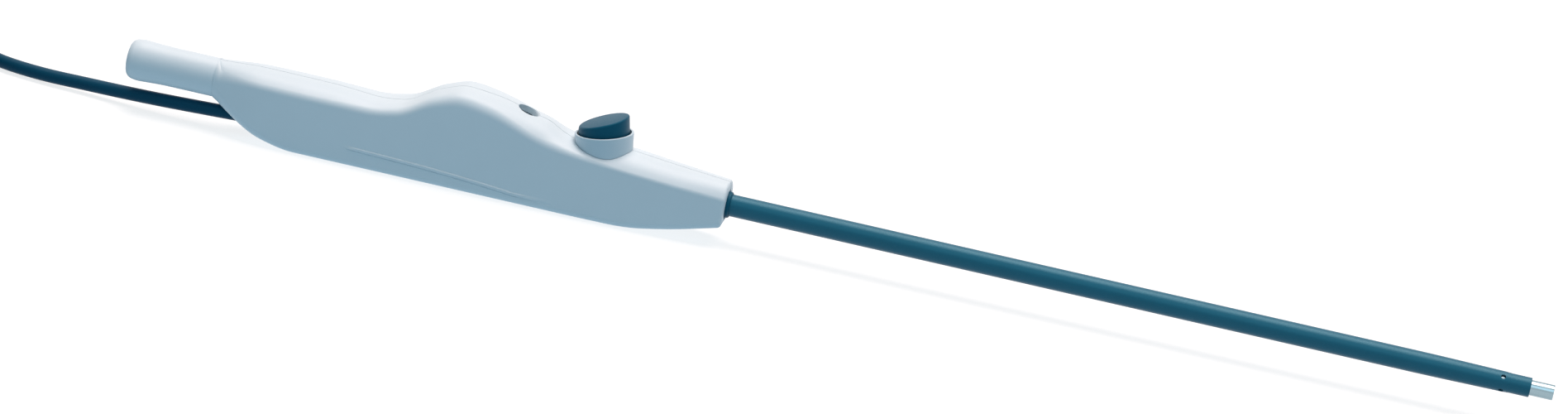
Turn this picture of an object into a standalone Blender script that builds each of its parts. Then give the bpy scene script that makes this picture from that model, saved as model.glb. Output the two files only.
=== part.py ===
"""Suction coagulator: a disposable pencil-shaped handle with a thumb vent and a push button,
an insulated suction cannula, a rear connector for suction tubing, and a cord with a three-pin plug.

Lengths are in metres. X runs along the handle to the cannula's tip, Z is up. The sizes below are
measured from the handle's nose, where X is 0, so the handle lies at negative X. The root empty moves
everything so that the origin is under the middle of the handle and cannula.
"""

import math

import bmesh
import bpy
from mathutils import Matrix, Vector

# Fits
GAP = 0.0003
SLIP_GAP = 0.00015
SLEEVE_GAP = 0.0001
SEAM_GAP = 0.0001
OVERCUT = 0.001

# Housing, a moulding in two halves
HANDLE_LENGTH = 0.096
HANDLE_HALF_WIDTH = 0.0062
NOSE_HALF_WIDTH = 0.0045
BODY_HEIGHT = 0.0119
HUMP_HEIGHT = 0.0179
HUMP_X = -0.0497
NOSE_TOP = 0.0105
NOSE_BOTTOM = 0.0036
WALL = 0.0012
TOP_EDGE_RADIUS = 0.0017
CROWN_POWER = 3  # how late the crown bends down towards the shoulders
ROUNDEST = 0.9  # the largest corner radius, as a share of half the section
BOTTOM_EDGE_RADIUS = 0.0012
NOSE_ROUND = 0.0006
LEDGE_HEIGHT = 0.0029
LEDGE_DEPTH = 0.0002
LEDGE_REAR_X = -0.069
LEDGE_FRONT_X = -0.025
LEDGE_FADE = 0.006
LEDGE_STEP = 0.0001
REAR_BLOCK = 0.009
NOSE_BLOCK = 0.008
RIB_THICKNESS = 0.001
HOSE_SLACK = 0.0003
RIB_HOSE_X = -0.0690
RIB_REAR_X = -0.0470
RIB_FRONT_X = -0.0340
RIB_CANNULA_X = -0.0289
PIN_RADIUS = 0.0007
PIN_LENGTH = 0.0016
BOSS_RADIUS = 0.0012
BOSSES = {"boss_rear": (-0.0725, 0.0041), "boss_top": (-0.0515, 0.0140), "boss_front": (-0.0115, 0.0037)}

# Suction path
SHAFT_HEIGHT = 0.0071
CANNULA_LENGTH = 0.1524
CANNULA_RADIUS = 0.0014
CANNULA_BORE = 0.0011
BARE_TIP = 0.0042
JACKET_RADIUS = 0.00202
JACKET_TIP_RADIUS = 0.00186
NECK_RADIUS = 0.00178
NECK_LENGTH = 0.0037
TAPER_LENGTH = 0.018
WINDOW_RADIUS = 0.00045
WINDOW_SETBACK = 0.0051
JACKET_INSIDE = 0.012
BUSHING_RADIUS = 0.0024
BUSHING_FLANGE = 0.0027
BUSHING_LENGTH = 0.0075
BUSHING_PROUD = 0.0004
BUSHING_CHAMFER = 0.0001
BUSHING_FLANGE_SETBACK = 0.0040
BUSHING_FLANGE_WIDTH = 0.0010
CONNECTOR_TOP = 0.0127
CONNECTOR_RADIUS = 0.0036
CONNECTOR_LIP_RADIUS = 0.00385
CONNECTOR_LENGTH = 0.0164
CONNECTOR_LIP_LENGTH = 0.007
CONNECTOR_BORE = 0.0016
NECK_IN_SHELL = 0.0025
NECK_LENGTH_IN_SHELL = 0.0085
GROOVE_SETBACK = 0.0050
GROOVE_WIDTH = 0.0012
GROOVE_DEPTH = 0.0006
BARB_RADIUS = 0.00148
BARB_LENGTH = 0.0085
BARB_DEPTH = 0.0002
BARB_WALL = 0.0005
HOSE_RADIUS = 0.0021
HOSE_WALL = 0.0005
MANIFOLD_RADIUS = 0.0028
MANIFOLD_BORE = 0.00095
MANIFOLD_REAR_X = -0.052
MANIFOLD_FRONT_X = -0.0315
MANIFOLD_BARB_LENGTH = 0.008
CHIMNEY_WALL = 0.0009
CANNULA_IN_MANIFOLD = 0.0050
SEAL_ROOM = 0.0017
VENT_X = -0.0383
VENT_RADIUS = 0.002
VENT_TILT = math.radians(20.5)
GASKET_THICKNESS = 0.0008
SEAL_THICKNESS = 0.0007

# Push button, which slides along an axis that leans to the rear
BUTTON_X = -0.0234
BUTTON_LEAN = math.radians(11)
BUTTON_RADIUS = 0.00465
BUTTON_TRAVEL = 0.0008
BUTTON_REAR_RISE = 0.0019
BUTTON_FRONT_RISE = 0.0034
BUTTON_EDGE = 0.0007
BEZEL_RADIUS = 0.00528
BEZEL_HEIGHT = 0.0035
BEZEL_FLOOR = 0.0019
GUIDE_RADIUS = 0.0030
STEM_RADIUS = 0.0013
SKIRT_WALL = 0.0006
SWITCH_THICKNESS = 0.0006
DOME_RADIUS = 0.0024
DOME_HEIGHT = 0.0006
DOME_WALL = 0.0002

# Electrical path
WIRE_RADIUS = 0.0004
WIRE_SPACING = 0.0016
CONTACT_WALL = 0.0005
CONTACT_LENGTH = 0.0025
CONTACT_X = -0.0163
CORD_RADIUS = 0.00125
CORD_LENGTH = 3.0
CRIMP_RADIUS = 0.0020
CRIMP_LENGTH = 0.004
CORD_INSIDE_HEIGHT = 0.0036
CORD_EXIT_HEIGHT = 0.0031
HANK_FOLD_RADIUS = 0.008
HANK_PITCH = 0.0026
HANK_COLUMNS = 4
HANK_LAYERS = 4
HANK_SETBACK = 0.052
TIE_THICKNESS = 0.0006
TIE_WIDTH = 0.006
HANK_JOINS = 0.019
PLUG_SETBACK = 0.164
PLUG_DEPTH = 0.030
PLUG_WIDTH = 0.044
PLUG_THICKNESS = 0.013
PLUG_NECK_WIDTH = 0.015
PLUG_EDGE = 0.0022
RELIEF_LENGTH = 0.016
RELIEF_RIBS = 5
RELIEF_GROOVE = 0.0005
RELIEF_RADIUS = 0.0034
RELIEF_TIP_RADIUS = 0.0022
PLUG_PIN_RADIUS = 0.002
PLUG_PIN_REACH = 0.018
PLUG_PIN_DEPTH = 0.009
PLUG_PIN_TIP = 0.0008
PLUG_PIN_OFFSETS = (-0.01665, 0.00555, 0.01665)

# Facets
STATION_STEP = 0.0034
CORNER_STEPS = 3
CROWN_STEPS = 2
ROUND_STEPS = 28
FINE_STEPS = 24
SMALL_STEPS = 16

# Worked out from the sizes above
REAR_X = -HANDLE_LENGTH
CONNECTOR_END_X = REAR_X - GAP - CONNECTOR_LENGTH
JACKET_END_X = CANNULA_LENGTH - BARE_TIP
CONNECTOR_HEIGHT = CONNECTOR_TOP - CONNECTOR_RADIUS
ORIGIN_X = (CANNULA_LENGTH + CONNECTOR_END_X) / 2
BUTTON_AXIS = Vector((-math.sin(BUTTON_LEAN), 0, math.cos(BUTTON_LEAN)))
VENT_AXIS = Vector((math.sin(VENT_TILT), 0, math.cos(VENT_TILT)))
TURNS = HANK_COLUMNS * HANK_LAYERS
HANK_HALF_WIDTH = HANK_FOLD_RADIUS + (HANK_COLUMNS - 1) * HANK_PITCH + CORD_RADIUS
HANK_HEIGHT = HANK_LAYERS * HANK_PITCH + 2 * CORD_RADIUS
HANK_BASE = TIE_THICKNESS + GAP
HANK_END_X = REAR_X - HANK_SETBACK
PLUG_END_X = REAR_X - PLUG_SETBACK
GROOVE_REAR_X = REAR_X + GROOVE_SETBACK
GROOVE_FRONT_X = GROOVE_REAR_X + GROOVE_WIDTH
BUSHING_FLANGE_FRONT_X = -BUSHING_FLANGE_SETBACK
BUSHING_FLANGE_REAR_X = BUSHING_FLANGE_FRONT_X - BUSHING_FLANGE_WIDTH
NECK_END_X = REAR_X + NECK_LENGTH_IN_SHELL
BARB_END_X = NECK_END_X + BARB_LENGTH

# The side view of the housing, as (x, z) where its curves change. Its top rises above TOP_LINE by the
# height in CROWN_LINE, from the shoulders to the middle
TOP_LINE = (
    (REAR_X, CONNECTOR_TOP),
    (-0.0870, BODY_HEIGHT),
    (-0.067, BODY_HEIGHT),
    (-0.0610, BODY_HEIGHT + 0.0009),
    (-0.0545, HUMP_HEIGHT - 0.0015),
    (HUMP_X, HUMP_HEIGHT),
    (-0.0450, HUMP_HEIGHT - 0.0006),
    (-0.0350, BODY_HEIGHT + 0.0022),
    (-0.0270, BODY_HEIGHT + 0.00025),
    (-0.0185, BODY_HEIGHT - 0.0003),
    (0.0, NOSE_TOP),
)
CROWN_LINE = (
    (REAR_X, 0.0),
    (-0.0870, 0.0012),
    (-0.0750, 0.0011),
    (-0.0600, 0.0002),
    (-0.0490, 0.0002),
    (-0.0385, 0.0011),
    (-0.0330, 0.0012),
    (-0.0270, 0.0009),
    (-0.0180, 0.0012),
    (-0.0100, 0.0004),
    (0.0, 0.0),
)
BOTTOM_LINE = (
    (REAR_X, CONNECTOR_TOP - 2 * CONNECTOR_RADIUS),
    (-0.0940, 0.0044),
    (-0.0900, 0.0025),
    (-0.0850, 0.0008),
    (-0.0790, 0.0),
    (-0.0195, 0.0),
    (-0.0165, 0.00015),
    (-0.0100, 0.0012),
    (-0.0020, 0.0030),
    (0.0, NOSE_BOTTOM),
)
WIDTH_LINE = (
    (REAR_X, CONNECTOR_RADIUS),
    (-0.0930, 0.0044),
    (-0.0870, 0.0058),
    (-0.0780, HANDLE_HALF_WIDTH),
    (-0.0280, HANDLE_HALF_WIDTH),
    (-0.0120, 0.0056),
    (0.0, NOSE_HALF_WIDTH),
)
TOP_RADIUS_LINE = (
    (REAR_X, CONNECTOR_RADIUS),
    (-0.0870, TOP_EDGE_RADIUS),
    (-0.0600, TOP_EDGE_RADIUS),
    (HUMP_X, 1.4 * TOP_EDGE_RADIUS),
    (-0.0400, TOP_EDGE_RADIUS),
    (0.0, TOP_EDGE_RADIUS),
)
BOTTOM_RADIUS_LINE = (
    (REAR_X, CONNECTOR_RADIUS),
    (-0.0870, 0.0018),
    (-0.0790, BOTTOM_EDGE_RADIUS),
    (0.0, BOTTOM_EDGE_RADIUS),
)

# Where the cord runs, from inside the housing to the hank, and from the hank to the plug. These X
# are measured from the housing's rear
LEAD_ROUTE = (
    (0.0175, 0.0, CORD_INSIDE_HEIGHT),
    (0.0110, 0.0, 0.0034),
    (0.0050, 0.0, CORD_EXIT_HEIGHT),
    (-0.0020, 0.0, 0.0028),
    (-0.0090, 0.0001, 0.0025),
    (-0.0160, 0.0008, 0.0021),
    (-0.0240, 0.0018, 0.0017),
    (-0.0330, 0.0027, 0.0014),
    (-0.0410, 0.0045, 0.0014),
    (-0.0470, 0.0080, 0.0015),
    (-0.0525, 0.0120, 0.0018),
    (-0.0575, 0.0147, 0.0020),
)
TAIL_ROUTE = (
    (-0.1295, 0.0155, 0.0122),
    (-0.1360, 0.0142, 0.0106),
    (-0.1440, 0.0100, 0.0080),
    (-0.1520, 0.0045, 0.0066),
    (-0.1590, 0.0010, 0.0064),
    (-0.1660, 0.0, 0.0065),
    (-0.1770, 0.0, 0.0065),
)


def clear_scene():
    for old in list(bpy.data.objects):
        bpy.data.objects.remove(old, do_unlink=True)


def make_collection(name):
    collection = bpy.data.collections.new(name)
    bpy.context.scene.collection.children.link(collection)
    return collection


def make_material(name, colour, roughness, metallic=0.0):
    material = bpy.data.materials.new(name)
    material.use_nodes = True
    shader = material.node_tree.nodes["Principled BSDF"]
    shader.inputs["Base Color"].default_value = (*colour, 1)
    shader.inputs["Roughness"].default_value = roughness
    shader.inputs["Metallic"].default_value = metallic
    material.diffuse_color = (*colour, 1)
    return material


def smooth(line, x):
    """The value at x of a curve through the line's points, with no overshoot between them."""
    xs = [p[0] for p in line]
    ys = [p[1] for p in line]
    if x <= xs[0]:
        return ys[0]
    if x >= xs[-1]:
        return ys[-1]
    slopes = [(ys[i + 1] - ys[i]) / (xs[i + 1] - xs[i]) for i in range(len(xs) - 1)]
    ends = [slopes[0]]
    for before, after in zip(slopes, slopes[1:]):
        same_way = before * after > 0
        ends.append(2 * before * after / (before + after) if same_way else 0.0)
    ends.append(slopes[-1])
    i = max(k for k in range(len(xs) - 1) if xs[k] <= x)
    width = xs[i + 1] - xs[i]
    t = (x - xs[i]) / width
    rise = ys[i + 1] - ys[i]
    start, end = ends[i] * width, ends[i + 1] * width
    return ys[i] + start * t + (3 * rise - 2 * start - end) * t**2 + (start + end - 2 * rise) * t**3


def curve_through(points, step):
    """Points about step apart on a Catmull-Rom curve through the given points."""
    nodes = [Vector(p) for p in points]
    nodes = [2 * nodes[0] - nodes[1], *nodes, 2 * nodes[-1] - nodes[-2]]
    found = []
    for a, b, c, d in zip(nodes, nodes[1:], nodes[2:], nodes[3:]):
        count = max(1, round((c - b).length / step))
        for k in range(count):
            t = k / count
            found.append(
                0.5 * (2 * b + (c - a) * t + (2 * a - 5 * b + 4 * c - d) * t**2
                       + (3 * b - a - 3 * c + d) * t**3)
            )
    return [*found, nodes[-2]]


def from_rear(route):
    """A cord's route, with its X measured from the nose as everything else is."""
    return [(REAR_X + x, y, z) for x, y, z in route]


def crest(x):
    """The height of the housing's top along its middle."""
    return smooth(TOP_LINE, x) + smooth(CROWN_LINE, x)


def path_length(points):
    return sum((Vector(b) - Vector(a)).length for a, b in zip(points, points[1:]))


class Workshop:
    """Where the pieces and the cutters go, and what makes them."""

    def __init__(self):
        self.parts = make_collection("suction_coagulator")
        self.cutters = make_collection("cutters")
        self.root = bpy.data.objects.new("part_origin", None)
        self.root.location = (-ORIGIN_X, 0, 0)
        self.parts.objects.link(self.root)

    def add(self, name, data, material=None, place=Matrix()):
        """A piece of the part if it has a material, and otherwise a cutter."""
        item = bpy.data.objects.new(name, data)
        (self.parts if material else self.cutters).objects.link(item)
        item.parent = self.root
        item.matrix_local = place
        if material:
            data.materials.append(material)
        else:
            item.hide_render = True
            item.display_type = "WIRE"
        return item

    def add_bmesh(self, name, bm, material=None, place=Matrix()):
        mesh = bpy.data.meshes.new(name)
        bmesh.ops.recalc_face_normals(bm, faces=bm.faces)
        bm.to_mesh(mesh)
        bm.free()
        mesh.shade_smooth()
        mesh.set_sharp_from_angle(angle=math.radians(35))
        return self.add(name, mesh, material, place)

    def turned(self, name, profile, material=None, place=Matrix(), steps=ROUND_STEPS, closed=True):
        """A profile of (radius, height) points turned about its Z axis, down the outside first."""
        mesh = bpy.data.meshes.new(name)
        edges = [(i, i + 1) for i in range(len(profile) - 1)]
        if closed:
            edges.append((len(profile) - 1, 0))
        mesh.from_pydata([(r, 0, z) for r, z in profile], edges, [])
        item = self.add(name, mesh, material, place)
        screw = item.modifiers.new("turn", "SCREW")
        screw.angle = 2 * math.pi
        screw.steps = steps
        screw.render_steps = steps
        screw.use_merge_vertices = True
        screw.merge_threshold = 0.000001
        screw.use_smooth_shade = True
        return item

    def box(self, name, low, high, material=None, place=Matrix()):
        bm = bmesh.new()
        bmesh.ops.create_cube(bm, size=1)
        size = Vector(high) - Vector(low)
        bmesh.ops.scale(bm, vec=size, verts=bm.verts)
        bmesh.ops.translate(bm, vec=(Vector(high) + Vector(low)) / 2, verts=bm.verts)
        return self.add_bmesh(name, bm, material, place)

    def rod(self, name, start, end, radius, material=None, steps=SMALL_STEPS):
        """A cylinder from one point to another."""
        run = Vector(end) - Vector(start)
        bm = bmesh.new()
        bmesh.ops.create_cone(bm, cap_ends=True, segments=steps, radius1=radius, radius2=radius,
                              depth=run.length)
        turn = Vector((0, 0, 1)).rotation_difference(run).to_matrix().to_4x4()
        middle = Matrix.Translation((Vector(start) + Vector(end)) / 2)
        return self.add_bmesh(name, bm, material, middle @ turn)

    def wire(self, name, points, radius, material, resolution=2, caps=True):
        """A round tube along a line of points."""
        curve = bpy.data.curves.new(name, "CURVE")
        curve.dimensions = "3D"
        curve.bevel_depth = radius
        curve.bevel_resolution = resolution
        curve.use_fill_caps = caps
        curve.render_resolution_u = 0
        spline = curve.splines.new("POLY")
        spline.points.add(len(points) - 1)
        for point, place in zip(spline.points, points):
            point.co = (*place, 1)
        return self.add(name, curve, material)

    def loft(self, name, sections, material=None):
        """A closed skin over a row of sections, each a loop of as many (x, y, z) points."""
        bm = bmesh.new()
        loops = [[bm.verts.new(p) for p in section] for section in sections]
        count = len(sections[0])
        for near, far in zip(loops, loops[1:]):
            for i in range(count):
                j = (i + 1) % count
                bm.faces.new((near[i], near[j], far[j], far[i]))
        bmesh.ops.triangulate(bm, faces=bm.faces)
        bm.faces.new(loops[0])
        bm.faces.new(loops[-1])
        return self.add_bmesh(name, bm, material)

    def as_mesh(self, source, name, material, place=Matrix()):
        """A new piece with the shape that the source has after its modifiers, in root space."""
        bpy.context.view_layer.update()
        evaluated = source.evaluated_get(bpy.context.evaluated_depsgraph_get())
        mesh = bpy.data.meshes.new_from_object(evaluated)
        mesh.name = name
        mesh.transform(source.matrix_local)
        mesh.materials.clear()
        return self.add(name, mesh, material, place)


def join(target, other, operation):
    """Adds, cuts away or keeps the part of the target that is in the other."""
    boolean = target.modifiers.new(other.name, "BOOLEAN")
    boolean.operation = operation
    boolean.object = other
    boolean.solver = "EXACT"


def along_x(x, z, y=0.0):
    """A frame whose Z axis runs along the part's X axis."""
    return Matrix.Translation((x, y, z)) @ Matrix.Rotation(math.radians(90), 4, "Y")


def leaning(x, z, direction):
    """A frame whose Z axis runs along a direction in the part's XZ plane."""
    angle = math.atan2(direction.x, direction.z)
    return Matrix.Translation((x, 0, z)) @ Matrix.Rotation(angle, 4, "Y")


def tube_profile(outer, inner, start, end):
    return [(outer, end), (outer, start), (inner, start), (inner, end)]


def ledge_at(x):
    """How far the lower band of the housing's side stands out, fading at its ends."""
    inside = min(x - LEDGE_REAR_X, LEDGE_FRONT_X - x)
    return LEDGE_DEPTH * max(0.0, min(1.0, inside / LEDGE_FADE))


def nose_inset(x):
    """How far the section draws in near the nose face, as a quarter round."""
    depth = NOSE_ROUND - min(-x, NOSE_ROUND)
    return NOSE_ROUND - math.sqrt(NOSE_ROUND**2 - depth**2)


def housing_section(x, inset):
    """The housing's outline across X, drawn in by inset: round corners and the side ledge."""
    inset_here = inset + nose_inset(x)
    half = smooth(WIDTH_LINE, x) - inset_here
    low = smooth(BOTTOM_LINE, x) + inset_here
    high = smooth(TOP_LINE, x) - inset_here
    band = half + (ledge_at(x) if inset <= 0 else 0.0)
    most = min(half, (high - low) / 2) * ROUNDEST
    top_radius = min(max(smooth(TOP_RADIUS_LINE, x) - inset_here, 0.0004), most)
    low_radius = min(max(smooth(BOTTOM_RADIUS_LINE, x) - inset_here, 0.0004), most)
    straight_low, straight_high = low + low_radius, high - top_radius
    run = straight_high - straight_low
    ledge = min(max(LEDGE_HEIGHT, straight_low + 0.3 * run), straight_low + 0.7 * run)
    step = min(LEDGE_STEP, 0.2 * run)
    side = []
    for k in range(CORNER_STEPS + 1):
        angle = -math.pi / 2 + k * math.pi / 2 / CORNER_STEPS
        side.append((band - low_radius + low_radius * math.cos(angle),
                     straight_low + low_radius * math.sin(angle)))
    side += [(band, ledge - step), (half, ledge + step)]
    flat = half - top_radius
    crown = smooth(CROWN_LINE, x)
    lean = math.atan2(CROWN_POWER * crown, flat)
    for k in range(CORNER_STEPS + 1):
        angle = k * (math.pi / 2 - lean) / CORNER_STEPS
        side.append((flat + top_radius * math.cos(angle), straight_high + top_radius * math.sin(angle)))
    edge_y, edge_z = side[-1]
    rise = edge_y * math.tan(lean) / CROWN_POWER
    for k in range(1, CROWN_STEPS):
        share = 1 - k / CROWN_STEPS
        side.append((edge_y * share, edge_z + rise * (1 - share**CROWN_POWER)))
    middle = [(x, 0.0, edge_z + rise)]
    return [(x, y, z) for y, z in side] + middle + [(x, -y, z) for y, z in reversed(side)]


def stations(start, end):
    count = max(1, math.ceil((end - start) / STATION_STEP))
    return [start + (end - start) * k / count for k in range(count + 1)]


def housing_stations():
    """Where the housing's sections lie, closer together where the nose is rounded."""
    round_start = -NOSE_ROUND
    rounded = [round_start * math.cos(k * math.pi / 6) for k in range(1, 4)]
    return [*stations(REAR_X, round_start), *rounded[:-1], 0.0]


def make_housing(shop, plastic):
    """Both halves: an outer skin, its cavity, ribs, bosses and passages, split down the middle."""
    outer = shop.loft("housing_outer", [housing_section(x, 0.0) for x in housing_stations()])
    cavity_rear, cavity_front = REAR_X + REAR_BLOCK, -NOSE_BLOCK
    cavity = shop.loft(
        "housing_cavity", [housing_section(x, WALL) for x in stations(cavity_rear, cavity_front)]
    )
    join(outer, cavity, "DIFFERENCE")
    ribs = {
        "rib_hose": (RIB_HOSE_X, HOSE_RADIUS + HOSE_SLACK, hose_height(RIB_HOSE_X)),
        "rib_manifold_rear": (RIB_REAR_X, MANIFOLD_RADIUS, SHAFT_HEIGHT),
        "rib_manifold_front": (RIB_FRONT_X, MANIFOLD_RADIUS, SHAFT_HEIGHT),
        "rib_cannula": (RIB_CANNULA_X, CANNULA_RADIUS, SHAFT_HEIGHT),
    }
    for name, (x, radius, height) in ribs.items():
        ends = (x - RIB_THICKNESS / 2, x + RIB_THICKNESS / 2)
        rib = shop.loft(name, [housing_section(end, WALL / 2) for end in ends])
        passage = shop.rod(
            f"{name}_passage", (ends[0] - OVERCUT, 0, height), (ends[1] + OVERCUT, 0, height), radius + GAP
        )
        join(rib, passage, "DIFFERENCE")
        wire_slot = shop.box(
            f"{name}_wires",
            (ends[0] - OVERCUT, -2 * WIRE_SPACING, WALL),
            (ends[1] + OVERCUT, 2 * WIRE_SPACING, height),
        )
        join(rib, wire_slot, "DIFFERENCE")
        join(outer, rib, "UNION")
    for name, (x, z) in BOSSES.items():
        reach = smooth(WIDTH_LINE, x) - WALL / 2
        join(outer, shop.rod(name, (x, -reach, z), (x, reach, z), BOSS_RADIUS), "UNION")
    for cutter in housing_passages(shop):
        join(outer, cutter, "DIFFERENCE")
    for side, name in ((1, "handle_shell_left"), (-1, "handle_shell_right")):
        half = shop.as_mesh(outer, name, plastic)
        near, far = side * SEAM_GAP / 2, side * 2 * HANDLE_HALF_WIDTH
        keep = shop.box(
            f"{name}_side",
            (REAR_X - OVERCUT, min(near, far), -OVERCUT),
            (OVERCUT, max(near, far), 2 * HUMP_HEIGHT),
        )
        join(half, keep, "INTERSECT")
        for boss, (x, z) in BOSSES.items():
            if side > 0:
                pin = shop.rod(f"{boss}_pin", (x, OVERCUT, z), (x, -PIN_LENGTH, z), PIN_RADIUS)
                join(half, pin, "UNION")
            else:
                deep = PIN_LENGTH + GAP
                socket = shop.rod(
                    f"{boss}_socket", (x, OVERCUT, z), (x, -deep, z), PIN_RADIUS + SLIP_GAP
                )
                join(half, socket, "DIFFERENCE")


def housing_passages(shop):
    """The cutters for what goes through the housing's walls."""
    neck, lip = NECK_IN_SHELL + SLIP_GAP, NECK_IN_SHELL - GROOVE_DEPTH + GAP
    block_end = REAR_X + REAR_BLOCK + OVERCUT
    yield shop.turned(
        "rear_passage",
        [
            (0, block_end), (neck, block_end), (neck, GROOVE_FRONT_X - SLIP_GAP),
            (lip, GROOVE_FRONT_X - SLIP_GAP), (lip, GROOVE_REAR_X + SLIP_GAP),
            (neck, GROOVE_REAR_X + SLIP_GAP), (neck, REAR_X - OVERCUT), (0, REAR_X - OVERCUT),
        ],
        place=along_x(0, CONNECTOR_HEIGHT),
        closed=False,
    )
    bore, flange = BUSHING_RADIUS + SLIP_GAP, BUSHING_FLANGE + SLIP_GAP
    start, end = BUSHING_FLANGE_REAR_X - SLIP_GAP, BUSHING_FLANGE_FRONT_X + SLIP_GAP
    block_end = -NOSE_BLOCK - OVERCUT
    yield shop.turned(
        "nose_passage",
        [
            (0, OVERCUT), (bore, OVERCUT), (bore, end), (flange, end), (flange, start),
            (bore, start), (bore, block_end), (0, block_end),
        ],
        place=along_x(0, SHAFT_HEIGHT),
        closed=False,
    )
    channel = CORD_RADIUS + GAP
    yield shop.rod(
        "cord_passage", (REAR_X - 0.004, 0, CORD_EXIT_HEIGHT - 0.0002), from_rear(LEAD_ROUTE)[1], channel
    )
    yield shop.rod(
        "cord_inner_passage", (REAR_X + 0.0085, 0, 0.0032), (REAR_X + 0.013, 0, 0.0036), channel + SLIP_GAP
    )
    vent = Vector((VENT_X, 0, crest(VENT_X)))
    yield shop.rod("vent_passage", vent - 0.004 * VENT_AXIS, vent + 0.004 * VENT_AXIS, VENT_RADIUS)
    button = Vector((BUTTON_X, 0, smooth(TOP_LINE, BUTTON_X)))
    skirt = GUIDE_RADIUS + GAP + SKIRT_WALL + SLIP_GAP
    yield shop.rod(
        "button_passage",
        button - 0.003 * BUTTON_AXIS,
        button + 0.004 * BUTTON_AXIS,
        skirt,
        steps=ROUND_STEPS,
    )
    yield shop.rod(
        "button_pocket",
        button + (BEZEL_FLOOR - GAP) * BUTTON_AXIS,
        button + 0.004 * BUTTON_AXIS,
        BUTTON_RADIUS + GAP,
        steps=ROUND_STEPS,
    )


def hose_height(x):
    """The height of the inner hose's middle line, from the connector down to the manifold."""
    line = (
        (BARB_END_X, CONNECTOR_HEIGHT),
        (MANIFOLD_REAR_X - MANIFOLD_BARB_LENGTH - STATION_STEP, SHAFT_HEIGHT),
    )
    t = min(max((x - line[0][0]) / (line[1][0] - line[0][0]), 0), 1)
    return line[0][1] + (line[1][1] - line[0][1]) * (3 * t**2 - 2 * t**3)


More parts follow.
